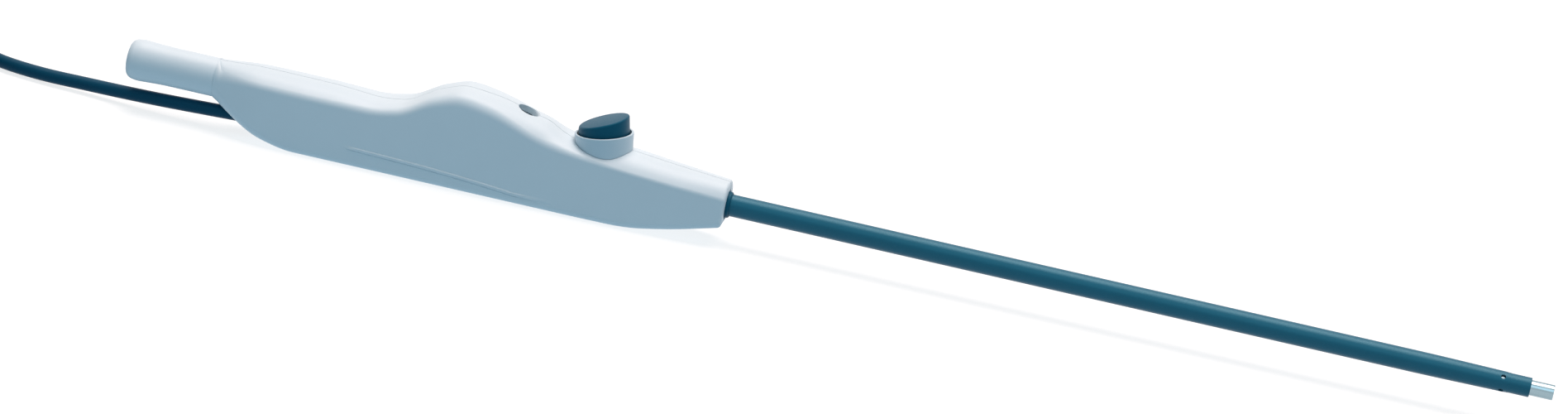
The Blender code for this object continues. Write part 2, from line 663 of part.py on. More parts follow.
def make_suction_path(shop, plastic, dark, steel, silicone):
    """From the rear connector through the hose and the vent manifold to the cannula's open tip."""
    barb_foot, barb_bore = BARB_RADIUS - BARB_DEPTH, BARB_RADIUS - BARB_WALL
    groove = NECK_IN_SHELL - GROOVE_DEPTH
    shop.turned(
        "suction_connector",
        [
            (barb_foot, BARB_END_X), (BARB_RADIUS, BARB_END_X - 0.0008),
            (barb_foot, BARB_END_X - 0.0024), (barb_foot, NECK_END_X),
            (NECK_IN_SHELL, NECK_END_X), (NECK_IN_SHELL, GROOVE_FRONT_X), (groove, GROOVE_FRONT_X),
            (groove, GROOVE_REAR_X), (NECK_IN_SHELL, GROOVE_REAR_X), (NECK_IN_SHELL, REAR_X - SLIP_GAP),
            (CONNECTOR_RADIUS, REAR_X - SLIP_GAP),
            (CONNECTOR_RADIUS, CONNECTOR_END_X + CONNECTOR_LIP_LENGTH),
            (CONNECTOR_LIP_RADIUS - 0.0001, CONNECTOR_END_X + 0.004),
            (CONNECTOR_LIP_RADIUS, CONNECTOR_END_X + 0.0022),
            (CONNECTOR_LIP_RADIUS - 0.0002, CONNECTOR_END_X + 0.0009),
            (CONNECTOR_LIP_RADIUS - 0.0006, CONNECTOR_END_X + 0.0003),
            (CONNECTOR_LIP_RADIUS - 0.0011, CONNECTOR_END_X),
            (CONNECTOR_BORE + 0.0003, CONNECTOR_END_X), (CONNECTOR_BORE, CONNECTOR_END_X + 0.0004),
            (CONNECTOR_BORE, REAR_X), (barb_bore, REAR_X + 0.002), (barb_bore, BARB_END_X),
        ],
        plastic,
        along_x(0, CONNECTOR_HEIGHT),
    )
    hose_start, hose_end = NECK_END_X + GAP, MANIFOLD_REAR_X - GAP
    points = [(x, 0, hose_height(x)) for x in stations(hose_start, hose_end)]
    hose = shop.wire("suction_hose", points, HOSE_RADIUS, silicone, resolution=4, caps=False)
    wall = hose.modifiers.new("wall", "SOLIDIFY")
    wall.thickness = HOSE_WALL
    wall.offset = -1
    make_manifold(shop, plastic, silicone)
    cannula_start = MANIFOLD_FRONT_X - CANNULA_IN_MANIFOLD
    chamfer = 0.00008
    shop.turned(
        "cannula_tube",
        [
            (CANNULA_BORE, CANNULA_LENGTH), (CANNULA_RADIUS - chamfer, CANNULA_LENGTH),
            (CANNULA_RADIUS, CANNULA_LENGTH - chamfer), (CANNULA_RADIUS, cannula_start),
            (CANNULA_BORE, cannula_start),
        ],
        steel,
        along_x(0, SHAFT_HEIGHT),
        FINE_STEPS,
    )
    jacket_bore = CANNULA_RADIUS + SLEEVE_GAP
    jacket = shop.turned(
        "insulating_jacket",
        [
            (jacket_bore, JACKET_END_X), (NECK_RADIUS - 0.0002, JACKET_END_X),
            (NECK_RADIUS, JACKET_END_X - 0.0003), (NECK_RADIUS, JACKET_END_X - NECK_LENGTH),
            (NECK_RADIUS + 0.00005, JACKET_END_X - NECK_LENGTH - 0.0002),
            (JACKET_TIP_RADIUS - 0.00005, JACKET_END_X - NECK_LENGTH - 0.0006),
            (JACKET_TIP_RADIUS, JACKET_END_X - NECK_LENGTH - 0.0009),
            (JACKET_RADIUS, JACKET_END_X - TAPER_LENGTH), (JACKET_RADIUS, -JACKET_INSIDE),
            (jacket_bore, -JACKET_INSIDE),
        ],
        dark,
        along_x(0, SHAFT_HEIGHT),
        FINE_STEPS,
    )
    window_x = JACKET_END_X - WINDOW_SETBACK
    for k in range(4):
        angle = math.radians(45 + 90 * k)
        out = Vector((0, math.cos(angle), math.sin(angle)))
        middle = Vector((window_x, 0, SHAFT_HEIGHT))
        start = middle + (CANNULA_RADIUS + SLEEVE_GAP / 2) * out
        window = shop.rod(f"window_{k + 1}", start, middle + 0.003 * out, WINDOW_RADIUS, steps=12)
        join(jacket, window, "DIFFERENCE")
    start, end = BUSHING_FLANGE_REAR_X, BUSHING_FLANGE_FRONT_X
    shop.turned(
        "nose_bushing",
        [
            (BUSHING_RADIUS - BUSHING_CHAMFER, BUSHING_PROUD),
            (BUSHING_RADIUS, BUSHING_PROUD - BUSHING_CHAMFER),
            (BUSHING_RADIUS, end), (BUSHING_FLANGE, end), (BUSHING_FLANGE, start),
            (BUSHING_RADIUS, start), (BUSHING_RADIUS, -BUSHING_LENGTH),
            (JACKET_RADIUS + SLIP_GAP, -BUSHING_LENGTH), (JACKET_RADIUS + SLIP_GAP, BUSHING_PROUD),
        ],
        dark,
        along_x(0, SHAFT_HEIGHT),
        FINE_STEPS,
    )


def make_manifold(shop, plastic, silicone):
    """A tee that joins the hose, the cannula and the chimney under the thumb vent."""
    front_socket = CANNULA_RADIUS + SLIP_GAP
    seal_outer = front_socket + SEAL_THICKNESS + SLIP_GAP
    socket_end = MANIFOLD_FRONT_X - CANNULA_IN_MANIFOLD - GAP
    seal_end = MANIFOLD_FRONT_X - SEAL_ROOM
    barb_rear, barb_foot = MANIFOLD_REAR_X - MANIFOLD_BARB_LENGTH, BARB_RADIUS - BARB_DEPTH
    body = shop.turned(
        "vent_manifold",
        [
            (0, MANIFOLD_FRONT_X), (MANIFOLD_RADIUS, MANIFOLD_FRONT_X),
            (MANIFOLD_RADIUS, MANIFOLD_REAR_X), (barb_foot, MANIFOLD_REAR_X),
            (barb_foot, barb_rear + 0.0024), (BARB_RADIUS, barb_rear + 0.0008),
            (barb_foot, barb_rear), (0, barb_rear),
        ],
        plastic,
        along_x(0, SHAFT_HEIGHT),
        FINE_STEPS,
        closed=False,
    )
    vent = Vector((VENT_X, 0, crest(VENT_X)))
    gasket_top = WALL + GAP
    chimney_top = gasket_top + GASKET_THICKNESS + SLIP_GAP
    foot = (vent.z - SHAFT_HEIGHT) / VENT_AXIS.z
    outer = shop.rod(
        "chimney",
        vent - foot * VENT_AXIS,
        vent - chimney_top * VENT_AXIS,
        MANIFOLD_RADIUS,
        steps=FINE_STEPS,
    )
    join(body, outer, "UNION")
    bore = shop.rod(
        "chimney_bore", vent - foot * VENT_AXIS, vent, MANIFOLD_RADIUS - CHIMNEY_WALL, steps=SMALL_STEPS
    )
    join(body, bore, "DIFFERENCE")
    passage = shop.turned(
        "manifold_bore",
        [
            (0, MANIFOLD_FRONT_X + OVERCUT), (seal_outer, MANIFOLD_FRONT_X + OVERCUT),
            (seal_outer, seal_end), (front_socket, seal_end), (front_socket, socket_end),
            (MANIFOLD_BORE, socket_end), (MANIFOLD_BORE, barb_rear - OVERCUT),
            (0, barb_rear - OVERCUT),
        ],
        place=along_x(0, SHAFT_HEIGHT),
        steps=FINE_STEPS,
        closed=False,
    )
    join(body, passage, "DIFFERENCE")
    ring = SEAL_THICKNESS / 2
    middle = front_socket + ring
    around = [2 * math.pi * k / 8 for k in range(8)]
    shop.turned(
        "cannula_seal",
        [(middle + ring * math.sin(a), ring * math.cos(a)) for a in around],
        silicone,
        along_x(seal_end + ring + SLIP_GAP, SHAFT_HEIGHT),
        FINE_STEPS,
    )
    shop.turned(
        "vent_gasket",
        tube_profile(MANIFOLD_RADIUS, VENT_RADIUS + 0.0001, -gasket_top - GASKET_THICKNESS, -gasket_top),
        silicone,
        leaning(vent.x, vent.z, VENT_AXIS),
        FINE_STEPS,
    )


def make_button(shop, plastic, dark, steel, board):
    """The push button in its bezel, with the snap dome and the switch board that it presses."""
    seat = Vector((BUTTON_X, 0, smooth(TOP_LINE, BUTTON_X)))
    frame = leaning(seat.x, seat.z, BUTTON_AXIS)
    inner = BUTTON_RADIUS + GAP
    guide = GUIDE_RADIUS + GAP
    bezel = shop.turned(
        "button_bezel",
        [
            (inner + 0.0001, BEZEL_HEIGHT), (BEZEL_RADIUS - 0.00012, BEZEL_HEIGHT),
            (BEZEL_RADIUS, BEZEL_HEIGHT - 0.00015), (BEZEL_RADIUS + 0.00012, -0.0025),
            (guide, -0.0025), (guide, BEZEL_FLOOR), (inner, BEZEL_FLOOR), (inner, BEZEL_HEIGHT - 0.0002),
        ],
        plastic,
        frame,
    )
    around_button = stations(BUTTON_X - 2 * BEZEL_RADIUS, BUTTON_X + 2 * BEZEL_RADIUS)
    clear = shop.loft("bezel_seat", [housing_section(x, -GAP) for x in around_button])
    join(bezel, clear, "DIFFERENCE")
    skirt_end = -0.0022
    skirt = shop.turned(
        "bezel_skirt", tube_profile(guide + SKIRT_WALL, guide, skirt_end, BEZEL_FLOOR - 0.0002), place=frame
    )
    join(bezel, skirt, "UNION")
    board_top = skirt_end + SWITCH_THICKNESS
    shop.turned(
        "switch_board",
        [(0, board_top), (GUIDE_RADIUS, board_top), (GUIDE_RADIUS, skirt_end), (0, skirt_end)],
        board,
        frame,
        closed=False,
    )
    dome_foot = board_top + GAP
    dome_top = dome_foot + DOME_HEIGHT
    rise = DOME_HEIGHT - DOME_WALL
    shop.turned(
        "snap_dome",
        [
            (0, dome_top), (0.35 * DOME_RADIUS, dome_top - 0.08 * rise),
            (0.7 * DOME_RADIUS, dome_top - 0.42 * rise), (DOME_RADIUS, dome_foot + DOME_WALL),
            (DOME_RADIUS, dome_foot), (0.7 * DOME_RADIUS, dome_top - 0.42 * rise - DOME_WALL),
            (0.35 * DOME_RADIUS, dome_top - 0.08 * rise - DOME_WALL), (0, dome_top - DOME_WALL),
        ],
        steel,
        frame,
        SMALL_STEPS,
        closed=False,
    )
    make_button_cap(shop, dark, frame, dome_top + GAP)


def make_button_cap(shop, dark, frame, stem_end):
    """A round cap with a sloping top, its guide and its stem, in one piece."""
    foot = BEZEL_FLOOR + BUTTON_TRAVEL + GAP
    bm = bmesh.new()
    bmesh.ops.create_cone(bm, cap_ends=True, segments=ROUND_STEPS, radius1=BUTTON_RADIUS,
                          radius2=BUTTON_RADIUS, depth=1)
    slope = (BUTTON_FRONT_RISE - BUTTON_REAR_RISE) / (2 * BUTTON_RADIUS)
    middle = BEZEL_HEIGHT + (BUTTON_FRONT_RISE + BUTTON_REAR_RISE) / 2
    for vertex in bm.verts:
        vertex.co.z = middle + slope * vertex.co.x if vertex.co.z > 0 else foot
    cap = shop.add_bmesh("coag_button", bm, dark, frame)
    edge = cap.modifiers.new("edge", "BEVEL")
    edge.width = BUTTON_EDGE
    edge.segments = 3
    edge.limit_method = "ANGLE"
    edge.angle_limit = math.radians(50)
    stem = shop.turned(
        "button_stem",
        [
            (0, foot + 0.0009), (GUIDE_RADIUS, foot + 0.0009), (GUIDE_RADIUS, 0.0010),
            (STEM_RADIUS, 0.0010), (STEM_RADIUS, stem_end), (0, stem_end),
        ],
        place=frame,
        steps=SMALL_STEPS,
        closed=False,
    )
    join(cap, stem, "UNION")


def make_wiring(shop, dark, steel, copper):
    """The contact on the cannula, the three wires to it and to the switch, and the cord's crimp."""
    inner = CANNULA_RADIUS + SLIP_GAP
    shop.turned(
        "active_contact",
        tube_profile(inner + CONTACT_WALL, inner, -CONTACT_LENGTH / 2, CONTACT_LENGTH / 2),
        steel,
        along_x(CONTACT_X, SHAFT_HEIGHT),
        FINE_STEPS,
    )
    low = WALL + 0.0007
    start_x = from_rear(LEAD_ROUTE)[0][0] + GAP
    contact_low = SHAFT_HEIGHT - inner - CONTACT_WALL - GAP - 0.0001
    switch_x = BUTTON_X + 0.0005
    switch_low = smooth(TOP_LINE, BUTTON_X) - 0.0026
    high = CORD_INSIDE_HEIGHT
    routes = {
        "wire_active": [
            (start_x, 0, high), (start_x + 0.003, 0, high - 0.0003), (-0.070, 0, low), (-0.060, 0, low),
            (-0.045, 0, low), (-0.030, 0, low), (-0.021, 0, low + 0.0004), (-0.0178, 0, low + 0.0012),
            (CONTACT_X, 0, contact_low),
        ],
    }
    for side, name in ((1, "wire_switch_1"), (-1, "wire_switch_2")):
        y = side * WIRE_SPACING
        routes[name] = [
            (start_x, side * 0.00086, high), (start_x + 0.003, side * 0.0011, high - 0.0003),
            (-0.070, y, low), (-0.060, y, low), (-0.045, y, low), (-0.031, y, low),
            (-0.0272, side * 0.0022, 0.0034), (-0.0242, side * 0.00245, 0.0062),
            (switch_x, side * 0.0024, switch_low),
        ]
    for name, route in routes.items():
        shop.wire(name, curve_through(route, 0.0022), WIRE_RADIUS, copper)
    crimp_start = from_rear(LEAD_ROUTE)[0][0] - CRIMP_LENGTH + 0.0005
    shop.turned(
        "cord_crimp",
        tube_profile(CRIMP_RADIUS, CORD_RADIUS + GAP, 0, CRIMP_LENGTH),
        steel,
        along_x(crimp_start, CORD_INSIDE_HEIGHT),
        SMALL_STEPS,
    )


def hank_run():
    """The straight run of one turn, from the cord's length less what isn't in the hank."""
    arcs = sum(
        2 * math.pi * (HANK_FOLD_RADIUS + column * HANK_PITCH) for column in range(HANK_COLUMNS)
    )
    free = path_length(LEAD_ROUTE) + path_length(TAIL_ROUTE) + HANK_JOINS
    return (CORD_LENGTH - free - HANK_LAYERS * arcs) / (2 * TURNS + 1)


def make_cord(shop, rubber, tie_material):
    """The cord from the crimp to the hank, the tied hank, and the tail that goes to the plug."""
    step = 2.2 * CORD_RADIUS
    shop.wire("power_cord_lead", curve_through(from_rear(LEAD_ROUTE), step), CORD_RADIUS, rubber)
    run = hank_run()
    middle_x = HANK_END_X - HANK_HALF_WIDTH - run / 2
    bm = bmesh.new()
    outline = []
    for side in (1, -1):
        for k in range(13):
            angle = math.radians(-90 + 15 * k) if side > 0 else math.radians(90 + 15 * k)
            outline.append((middle_x + side * run / 2 + HANK_HALF_WIDTH * math.cos(angle),
                            HANK_HALF_WIDTH * math.sin(angle), HANK_BASE))
    face = bm.faces.new([bm.verts.new(p) for p in outline])
    top = bmesh.ops.extrude_face_region(bm, geom=[face])["geom"]
    lifted = [v for v in top if isinstance(v, bmesh.types.BMVert)]
    bmesh.ops.translate(bm, vec=(0, 0, HANK_HEIGHT), verts=lifted)
    shop.add_bmesh("power_cord_hank", bm, rubber)
    make_tie(shop, tie_material, middle_x)
    shop.wire("power_cord_tail", curve_through(from_rear(TAIL_ROUTE), step), CORD_RADIUS, rubber)


def make_tie(shop, tie_material, middle_x):
    """A flat band round the middle of the hank."""
    half = HANK_HALF_WIDTH + GAP
    low, high = HANK_BASE - GAP, HANK_BASE + HANK_HEIGHT + GAP
    ends = (middle_x - TIE_WIDTH / 2, middle_x + TIE_WIDTH / 2)
    band = shop.box(
        "hank_tie",
        (ends[0], -half - TIE_THICKNESS, low - TIE_THICKNESS),
        (ends[1], half + TIE_THICKNESS, high + TIE_THICKNESS),
        tie_material,
    )
    hole = shop.box("tie_inside", (ends[0] - OVERCUT, -half, low), (ends[1] + OVERCUT, half, high))
    join(band, hole, "DIFFERENCE")


def make_plug(shop, rubber, dark, brass):
    """A flat moulded plug with three round pins, lying on its broad face."""
    middle_z = PLUG_THICKNESS / 2
    relief_start = PLUG_END_X - RELIEF_LENGTH
    hole = CORD_RADIUS + GAP
    profile = [(hole, PLUG_END_X), (RELIEF_TIP_RADIUS - 0.0003, PLUG_END_X)]
    for k in range(RELIEF_RIBS):
        top = PLUG_END_X - 0.0004 - k * RELIEF_LENGTH / RELIEF_RIBS
        radius = RELIEF_TIP_RADIUS + (RELIEF_RADIUS - RELIEF_TIP_RADIUS) * k / (RELIEF_RIBS - 1)
        groove = radius - RELIEF_GROOVE
        profile += [(radius, top), (radius + 0.0001, top - 0.0019), (groove, top - 0.0021),
                    (groove, top - 0.0027)]
    profile += [(RELIEF_RADIUS, relief_start + 0.0002), (RELIEF_RADIUS, relief_start),
                (hole, relief_start)]
    shop.turned("plug_strain_relief", profile, rubber, along_x(0, middle_z), SMALL_STEPS)
    rear, front = relief_start - GAP, relief_start - GAP - PLUG_DEPTH
    shoulder = front + 0.40 * PLUG_DEPTH
    neck, wide = PLUG_NECK_WIDTH / 2, PLUG_WIDTH / 2
    outline = [
        (rear, -neck), (rear, neck), (rear - 0.35 * PLUG_DEPTH, 1.25 * neck),
        (shoulder, 0.93 * wide), (front + 0.2 * PLUG_DEPTH, wide), (front, wide),
        (front, -wide), (front + 0.2 * PLUG_DEPTH, -wide), (shoulder, -0.93 * wide),
        (rear - 0.35 * PLUG_DEPTH, -1.25 * neck),
    ]
    bm = bmesh.new()
    face = bm.faces.new([bm.verts.new((x, y, 0)) for x, y in outline])
    top = bmesh.ops.extrude_face_region(bm, geom=[face])["geom"]
    lifted = [v for v in top if isinstance(v, bmesh.types.BMVert)]
    bmesh.ops.translate(bm, vec=(0, 0, PLUG_THICKNESS), verts=lifted)
    body = shop.add_bmesh("plug_body", bm, dark)
    edge = body.modifiers.new("edge", "BEVEL")
    edge.width = PLUG_EDGE
    edge.segments = 3
    edge.limit_method = "ANGLE"
    edge.angle_limit = math.radians(60)
    cord_hole = shop.rod(
        "plug_cord_hole", (rear + 0.001, 0, middle_z), (rear - 0.004, 0, middle_z), hole
    )
    join(body, cord_hole, "DIFFERENCE")
    for number, y in enumerate(PLUG_PIN_OFFSETS, 1):
        inside = front + PLUG_PIN_DEPTH
        socket = shop.rod(
            f"plug_socket_{number}", (front - 0.001, y, middle_z), (inside, y, middle_z),
            PLUG_PIN_RADIUS + SLIP_GAP,
        )
        join(body, socket, "DIFFERENCE")
        reach, tip = front - PLUG_PIN_REACH, PLUG_PIN_TIP
        shop.turned(
            f"plug_pin_{number}",
            [
                (0, inside - GAP), (PLUG_PIN_RADIUS, inside - GAP), (PLUG_PIN_RADIUS, reach + tip),
                (PLUG_PIN_RADIUS - 0.3 * tip, reach + 0.3 * tip), (PLUG_PIN_RADIUS - tip, reach),
                (0, reach),
            ],
            brass,
            along_x(0, middle_z, y),
            SMALL_STEPS,
            closed=False,
        )


def main():
    clear_scene()
    shop = Workshop()
    plastic = make_material("pale_plastic", (0.52, 0.64, 0.72), 0.45)
    dark = make_material("dark_teal_plastic", (0.012, 0.075, 0.125), 0.35)
    steel = make_material("stainless_steel", (0.72, 0.78, 0.82), 0.25, 1.0)
    silicone = make_material("silicone", (0.75, 0.80, 0.82), 0.5)
    rubber = make_material("cord_rubber", (0.006, 0.045, 0.075), 0.4)
    copper = make_material("wire_insulation", (0.30, 0.42, 0.50), 0.5)
    board = make_material("switch_board", (0.05, 0.22, 0.20), 0.5)
    brass = make_material("plated_brass", (0.80, 0.72, 0.50), 0.25, 1.0)
    tie_material = make_material("tie_band", (0.80, 0.84, 0.86), 0.7)
    make_housing(shop, plastic)
    make_suction_path(shop, plastic, dark, steel, silicone)
    make_button(shop, plastic, dark, steel, board)
    make_wiring(shop, dark, steel, copper)
    make_cord(shop, rubber, tie_material)
    make_plug(shop, rubber, dark, brass)


main()
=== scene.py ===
"""Dresses the suction coagulator: fine surfaces, materials, the real cord, a pale floor and soft light.

Lengths are in metres. Shapes are drawn from the handle's nose, where X is 0, and then moved into the
frame of the model by ORIGIN_X.
"""

import math

import bmesh
import bpy
from mathutils import Matrix, Vector


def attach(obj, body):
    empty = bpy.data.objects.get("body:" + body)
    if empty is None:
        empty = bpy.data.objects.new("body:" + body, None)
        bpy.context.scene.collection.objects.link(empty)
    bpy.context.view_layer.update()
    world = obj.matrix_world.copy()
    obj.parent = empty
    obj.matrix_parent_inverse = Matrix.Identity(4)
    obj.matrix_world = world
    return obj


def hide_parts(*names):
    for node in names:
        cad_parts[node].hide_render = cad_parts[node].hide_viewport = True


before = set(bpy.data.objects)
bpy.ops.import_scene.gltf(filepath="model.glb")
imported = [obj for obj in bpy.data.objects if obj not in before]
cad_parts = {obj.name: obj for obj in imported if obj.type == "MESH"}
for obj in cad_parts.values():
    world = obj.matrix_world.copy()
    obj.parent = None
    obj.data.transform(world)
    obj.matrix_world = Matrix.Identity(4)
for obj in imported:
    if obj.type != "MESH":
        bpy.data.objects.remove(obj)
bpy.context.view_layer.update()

GAP = 0.0003
SLIP_GAP = 0.00015
SEAM_GAP = 0.0001
SEAT_GAP = 0.00003
ORIGIN_X = 0.01985
SHAFT_HEIGHT = 0.0071
REAR_X = -0.096
NOSE_X = 0.0004
BODY_HEIGHT = 0.0119
HUMP_HEIGHT = 0.0179
CONNECTOR_TOP = 0.0127
CONNECTOR_RADIUS = 0.0036
CONNECTOR_HEIGHT = CONNECTOR_TOP - CONNECTOR_RADIUS
CONNECTOR_END_X = REAR_X - GAP - 0.0164
CONNECTOR_BORE = 0.0016
CONNECTOR_NECK = 0.0025
LIP_RADIUS = 0.00385
CORD_RADIUS = 0.00125
CORD_LENGTH = 3.0
SHIFT = Matrix.Translation((-ORIGIN_X, 0, 0))

# The side view of the housing, as (x, z) where its curves change. Its top rises above TOP_LINE by the
# height in CROWN_LINE, from the shoulders to the middle
TOP_LINE = (
    (REAR_X, CONNECTOR_TOP), (-0.0870, BODY_HEIGHT), (-0.067, BODY_HEIGHT), (-0.0610, BODY_HEIGHT + 0.0009),
    (-0.0545, HUMP_HEIGHT - 0.0015), (-0.0497, HUMP_HEIGHT), (-0.0450, HUMP_HEIGHT - 0.0006),
    (-0.0350, BODY_HEIGHT + 0.0022), (-0.0270, BODY_HEIGHT + 0.00025), (-0.0185, BODY_HEIGHT - 0.0006),
    (NOSE_X, 0.0100),
)
CROWN_LINE = (
    (REAR_X, 0.0), (-0.0870, 0.0012), (-0.0750, 0.0011), (-0.0600, 0.0002), (-0.0490, 0.0002),
    (-0.0385, 0.0011), (-0.0345, 0.0014), (-0.0310, 0.0006), (-0.0280, 0.0003), (-0.0235, 0.0009),
    (-0.0180, 0.0019), (-0.0100, 0.0017), (NOSE_X, 0.0015),
)
BOTTOM_LINE = (
    (REAR_X, CONNECTOR_TOP - 2 * CONNECTOR_RADIUS), (-0.0940, 0.0044), (-0.0900, 0.0025),
    (-0.0850, 0.0008), (-0.0790, 0.0), (-0.0195, 0.0), (-0.0165, 0.00015), (-0.0100, 0.0012),
    (-0.0020, 0.0030), (NOSE_X, 0.0036),
)
WIDTH_LINE = (
    (REAR_X, CONNECTOR_RADIUS), (-0.0930, 0.0044), (-0.0870, 0.0058), (-0.0780, 0.0062),
    (-0.0280, 0.0062), (-0.0120, 0.0057), (NOSE_X, 0.0045),
)
TOP_RADIUS_LINE = (
    (REAR_X, CONNECTOR_RADIUS), (-0.0870, 0.0017), (-0.0600, 0.0017), (-0.0497, 0.00238),
    (-0.0400, 0.0022), (-0.0340, 0.0021), (-0.0270, 0.0013), (-0.0190, 0.0011), (NOSE_X, 0.0014),
)
BOTTOM_RADIUS_LINE = ((REAR_X, CONNECTOR_RADIUS), (-0.0870, 0.0018), (-0.0790, 0.0012), (0.0, 0.0012))
NOSE_ROUND = 0.0006
WALL = 0.0012

# The crown falls off from the middle with this power of the distance
CROWN_POWER = 3

# A corner rounds at most this share of half the housing's width or height
ROUNDEST = 0.9

# The low bead along each side of the housing, as (x, z)
BEAD_LINE = ((-0.0690, 0.0038), (-0.0580, 0.0035), (-0.0480, 0.0030), (-0.0380, 0.0022), (-0.0280, 0.0010))
BEAD_DEPTH = 0.00016
BEAD_WIDTH = 0.0006

CANNULA_START_X = -0.0365
CANNULA_TIP_X = 0.1524
CANNULA_RADIUS = 0.0014
CANNULA_BORE = 0.0011
BARE_TIP = 0.0042
JACKET_START_X = -0.012
JACKET_END_X = CANNULA_TIP_X - BARE_TIP
JACKET_RADIUS = 0.00202
JACKET_NECK = 0.00178
JACKET_BORE = 0.0015
WINDOW_SETBACK = 0.0051
WINDOW_RADIUS = 0.00045
RING_RADIUS = 0.0024
RING_END_X = 0.0011

LEAD_ROUTE = (
    (-0.0785, 0.0, 0.0036), (-0.0850, 0.0, 0.0034), (-0.0910, 0.0, 0.0031), (-0.0980, 0.0, 0.0028),
    (-0.1050, 0.0001, 0.0025), (-0.1120, 0.0008, 0.0021), (-0.1200, 0.0018, 0.0017),
    (-0.1290, 0.0027, 0.0014), (-0.1370, 0.0045, 0.0014), (-0.1430, 0.0080, 0.0015),
    (-0.1485, 0.0120, 0.0018), (-0.1535, 0.0147, 0.0020),
)
TAIL_ROUTE = (
    (-0.2255, 0.0155, 0.0122), (-0.2320, 0.0142, 0.0106), (-0.2400, 0.0100, 0.0080),
    (-0.2480, 0.0045, 0.0066), (-0.2550, 0.0010, 0.0064), (-0.2620, 0.0, 0.0065),
    (-0.2730, 0.0, 0.0065),
)
HANK_FOLD_RADIUS = 0.008
HANK_PITCH = 0.0026
HANK_COLUMNS = 4
HANK_LAYERS = 4
HANK_END_X = -0.148
HANK_HALF_WIDTH = HANK_FOLD_RADIUS + (HANK_COLUMNS - 1) * HANK_PITCH + CORD_RADIUS
HANK_BASE = 0.0009
HANK_HEIGHT = HANK_LAYERS * HANK_PITCH + 2 * CORD_RADIUS

# The length of cord that joins the hank to both routes, and the points along each run and fold
HANK_JOINS = 0.019
HANK_RUN_STEPS = 12
HANK_FOLD_STEPS = 16
HANK_BACK_STEPS = 8

BAND_WIDTH = 0.006
BAND_THICKNESS = 0.0006
BAND_CORNER = 0.0011

BUTTON_X = -0.0234
SEAT_HEIGHT = 0.01187
BUTTON_LEAN = math.radians(11)
BUTTON_AXIS = Vector((-math.sin(BUTTON_LEAN), 0, math.cos(BUTTON_LEAN)))
BUTTON_RADIUS = 0.00465
BUTTON_TRAVEL = 0.0008
BUTTON_REAR_RISE = 0.0012
BUTTON_FRONT_RISE = 0.0032
BEZEL_RADIUS = 0.0054
BEZEL_HEIGHT = 0.0035
BEZEL_FLOOR = 0.0019
GUIDE_BORE = 0.0033
SKIRT_RADIUS = GUIDE_BORE + 0.0006
GUIDE_RADIUS = 0.0030
STEM_RADIUS = 0.0013
VENT_X = -0.0383
VENT_TILT = math.radians(20.5)
VENT_AXIS = Vector((math.sin(VENT_TILT), 0, math.cos(VENT_TILT)))
VENT_RADIUS = 0.002

PLUG_END_X = -0.2600
RELIEF_LENGTH = 0.016
RELIEF_RIBS = 6
PLUG_REAR_X = PLUG_END_X - RELIEF_LENGTH - GAP
PLUG_DEPTH = 0.030
PLUG_THICKNESS = 0.013
PLUG_FRONT_X = PLUG_REAR_X - PLUG_DEPTH
PLUG_HEIGHT = PLUG_THICKNESS / 2
PIN_PLACES = (-0.01665, 0.00555, 0.01665)
PIN_RADIUS = 0.002
PIN_LENGTH = 0.018
PIN_INSIDE = 0.009
PIN_ROUND = 0.0011

WHITE = (1, 1, 1, 1)
SURROUNDINGS = (0.55, 0.78, 0.95, 1)


def smooth(line, x):
    """The value at x of a curve through the line's points, with no overshoot between them."""
    xs = [p[0] for p in line]
    ys = [p[1] for p in line]
    if x <= xs[0]:
        return ys[0]
    if x >= xs[-1]:
        return ys[-1]
    slopes = [(ys[i + 1] - ys[i]) / (xs[i + 1] - xs[i]) for i in range(len(xs) - 1)]
    ends = [slopes[0]]
    for before, after in zip(slopes, slopes[1:]):
        same_way = before * after > 0
        ends.append(2 * before * after / (before + after) if same_way else 0.0)
    ends.append(slopes[-1])
    i = max(k for k in range(len(xs) - 1) if xs[k] <= x)
    width = xs[i + 1] - xs[i]
    t = (x - xs[i]) / width
    rise = ys[i + 1] - ys[i]
    start, end = ends[i] * width, ends[i + 1] * width
    return ys[i] + start * t + (3 * rise - 2 * start - end) * t**2 + (start + end - 2 * rise) * t**3


def crest(x):
    """About the height of the housing's top along its middle."""
    return smooth(TOP_LINE, x) + smooth(CROWN_LINE, x)


def curve_through(points, step):
    """Points about step apart on a Catmull-Rom curve through the given points."""
    nodes = [Vector(p) for p in points]
    nodes = [2 * nodes[0] - nodes[1], *nodes, 2 * nodes[-1] - nodes[-2]]
    found = []
    for a, b, c, d in zip(nodes, nodes[1:], nodes[2:], nodes[3:]):
        count = max(1, round((c - b).length / step))
        for k in range(count):
            t = k / count
            found.append(
                0.5 * (2 * b + (c - a) * t + (2 * a - 5 * b + 4 * c - d) * t**2
                       + (3 * b - a - 3 * c + d) * t**3)
            )
    return [*found, nodes[-2]]


def path_length(points):
    """The length of the straight lines that join the points."""
    return sum((Vector(b) - Vector(a)).length for a, b in zip(points, points[1:]))


# Camera, at the photograph's angle
def aim(location, yaw, elevation, roll):
    """The camera's placement, from where it stands and the three angles that turn it."""
    back = Vector(
        (math.sin(yaw) * math.cos(elevation), -math.cos(yaw) * math.cos(elevation), math.sin(elevation))
    )
    level = Vector((math.cos(yaw), math.sin(yaw), 0))
    upright = back.cross(level)
    right = level * math.cos(roll) + upright * math.sin(roll)
    up = upright * math.cos(roll) - level * math.sin(roll)
    turn = Matrix((right, up, back)).transposed().to_4x4()
    return Matrix.Translation(location) @ turn


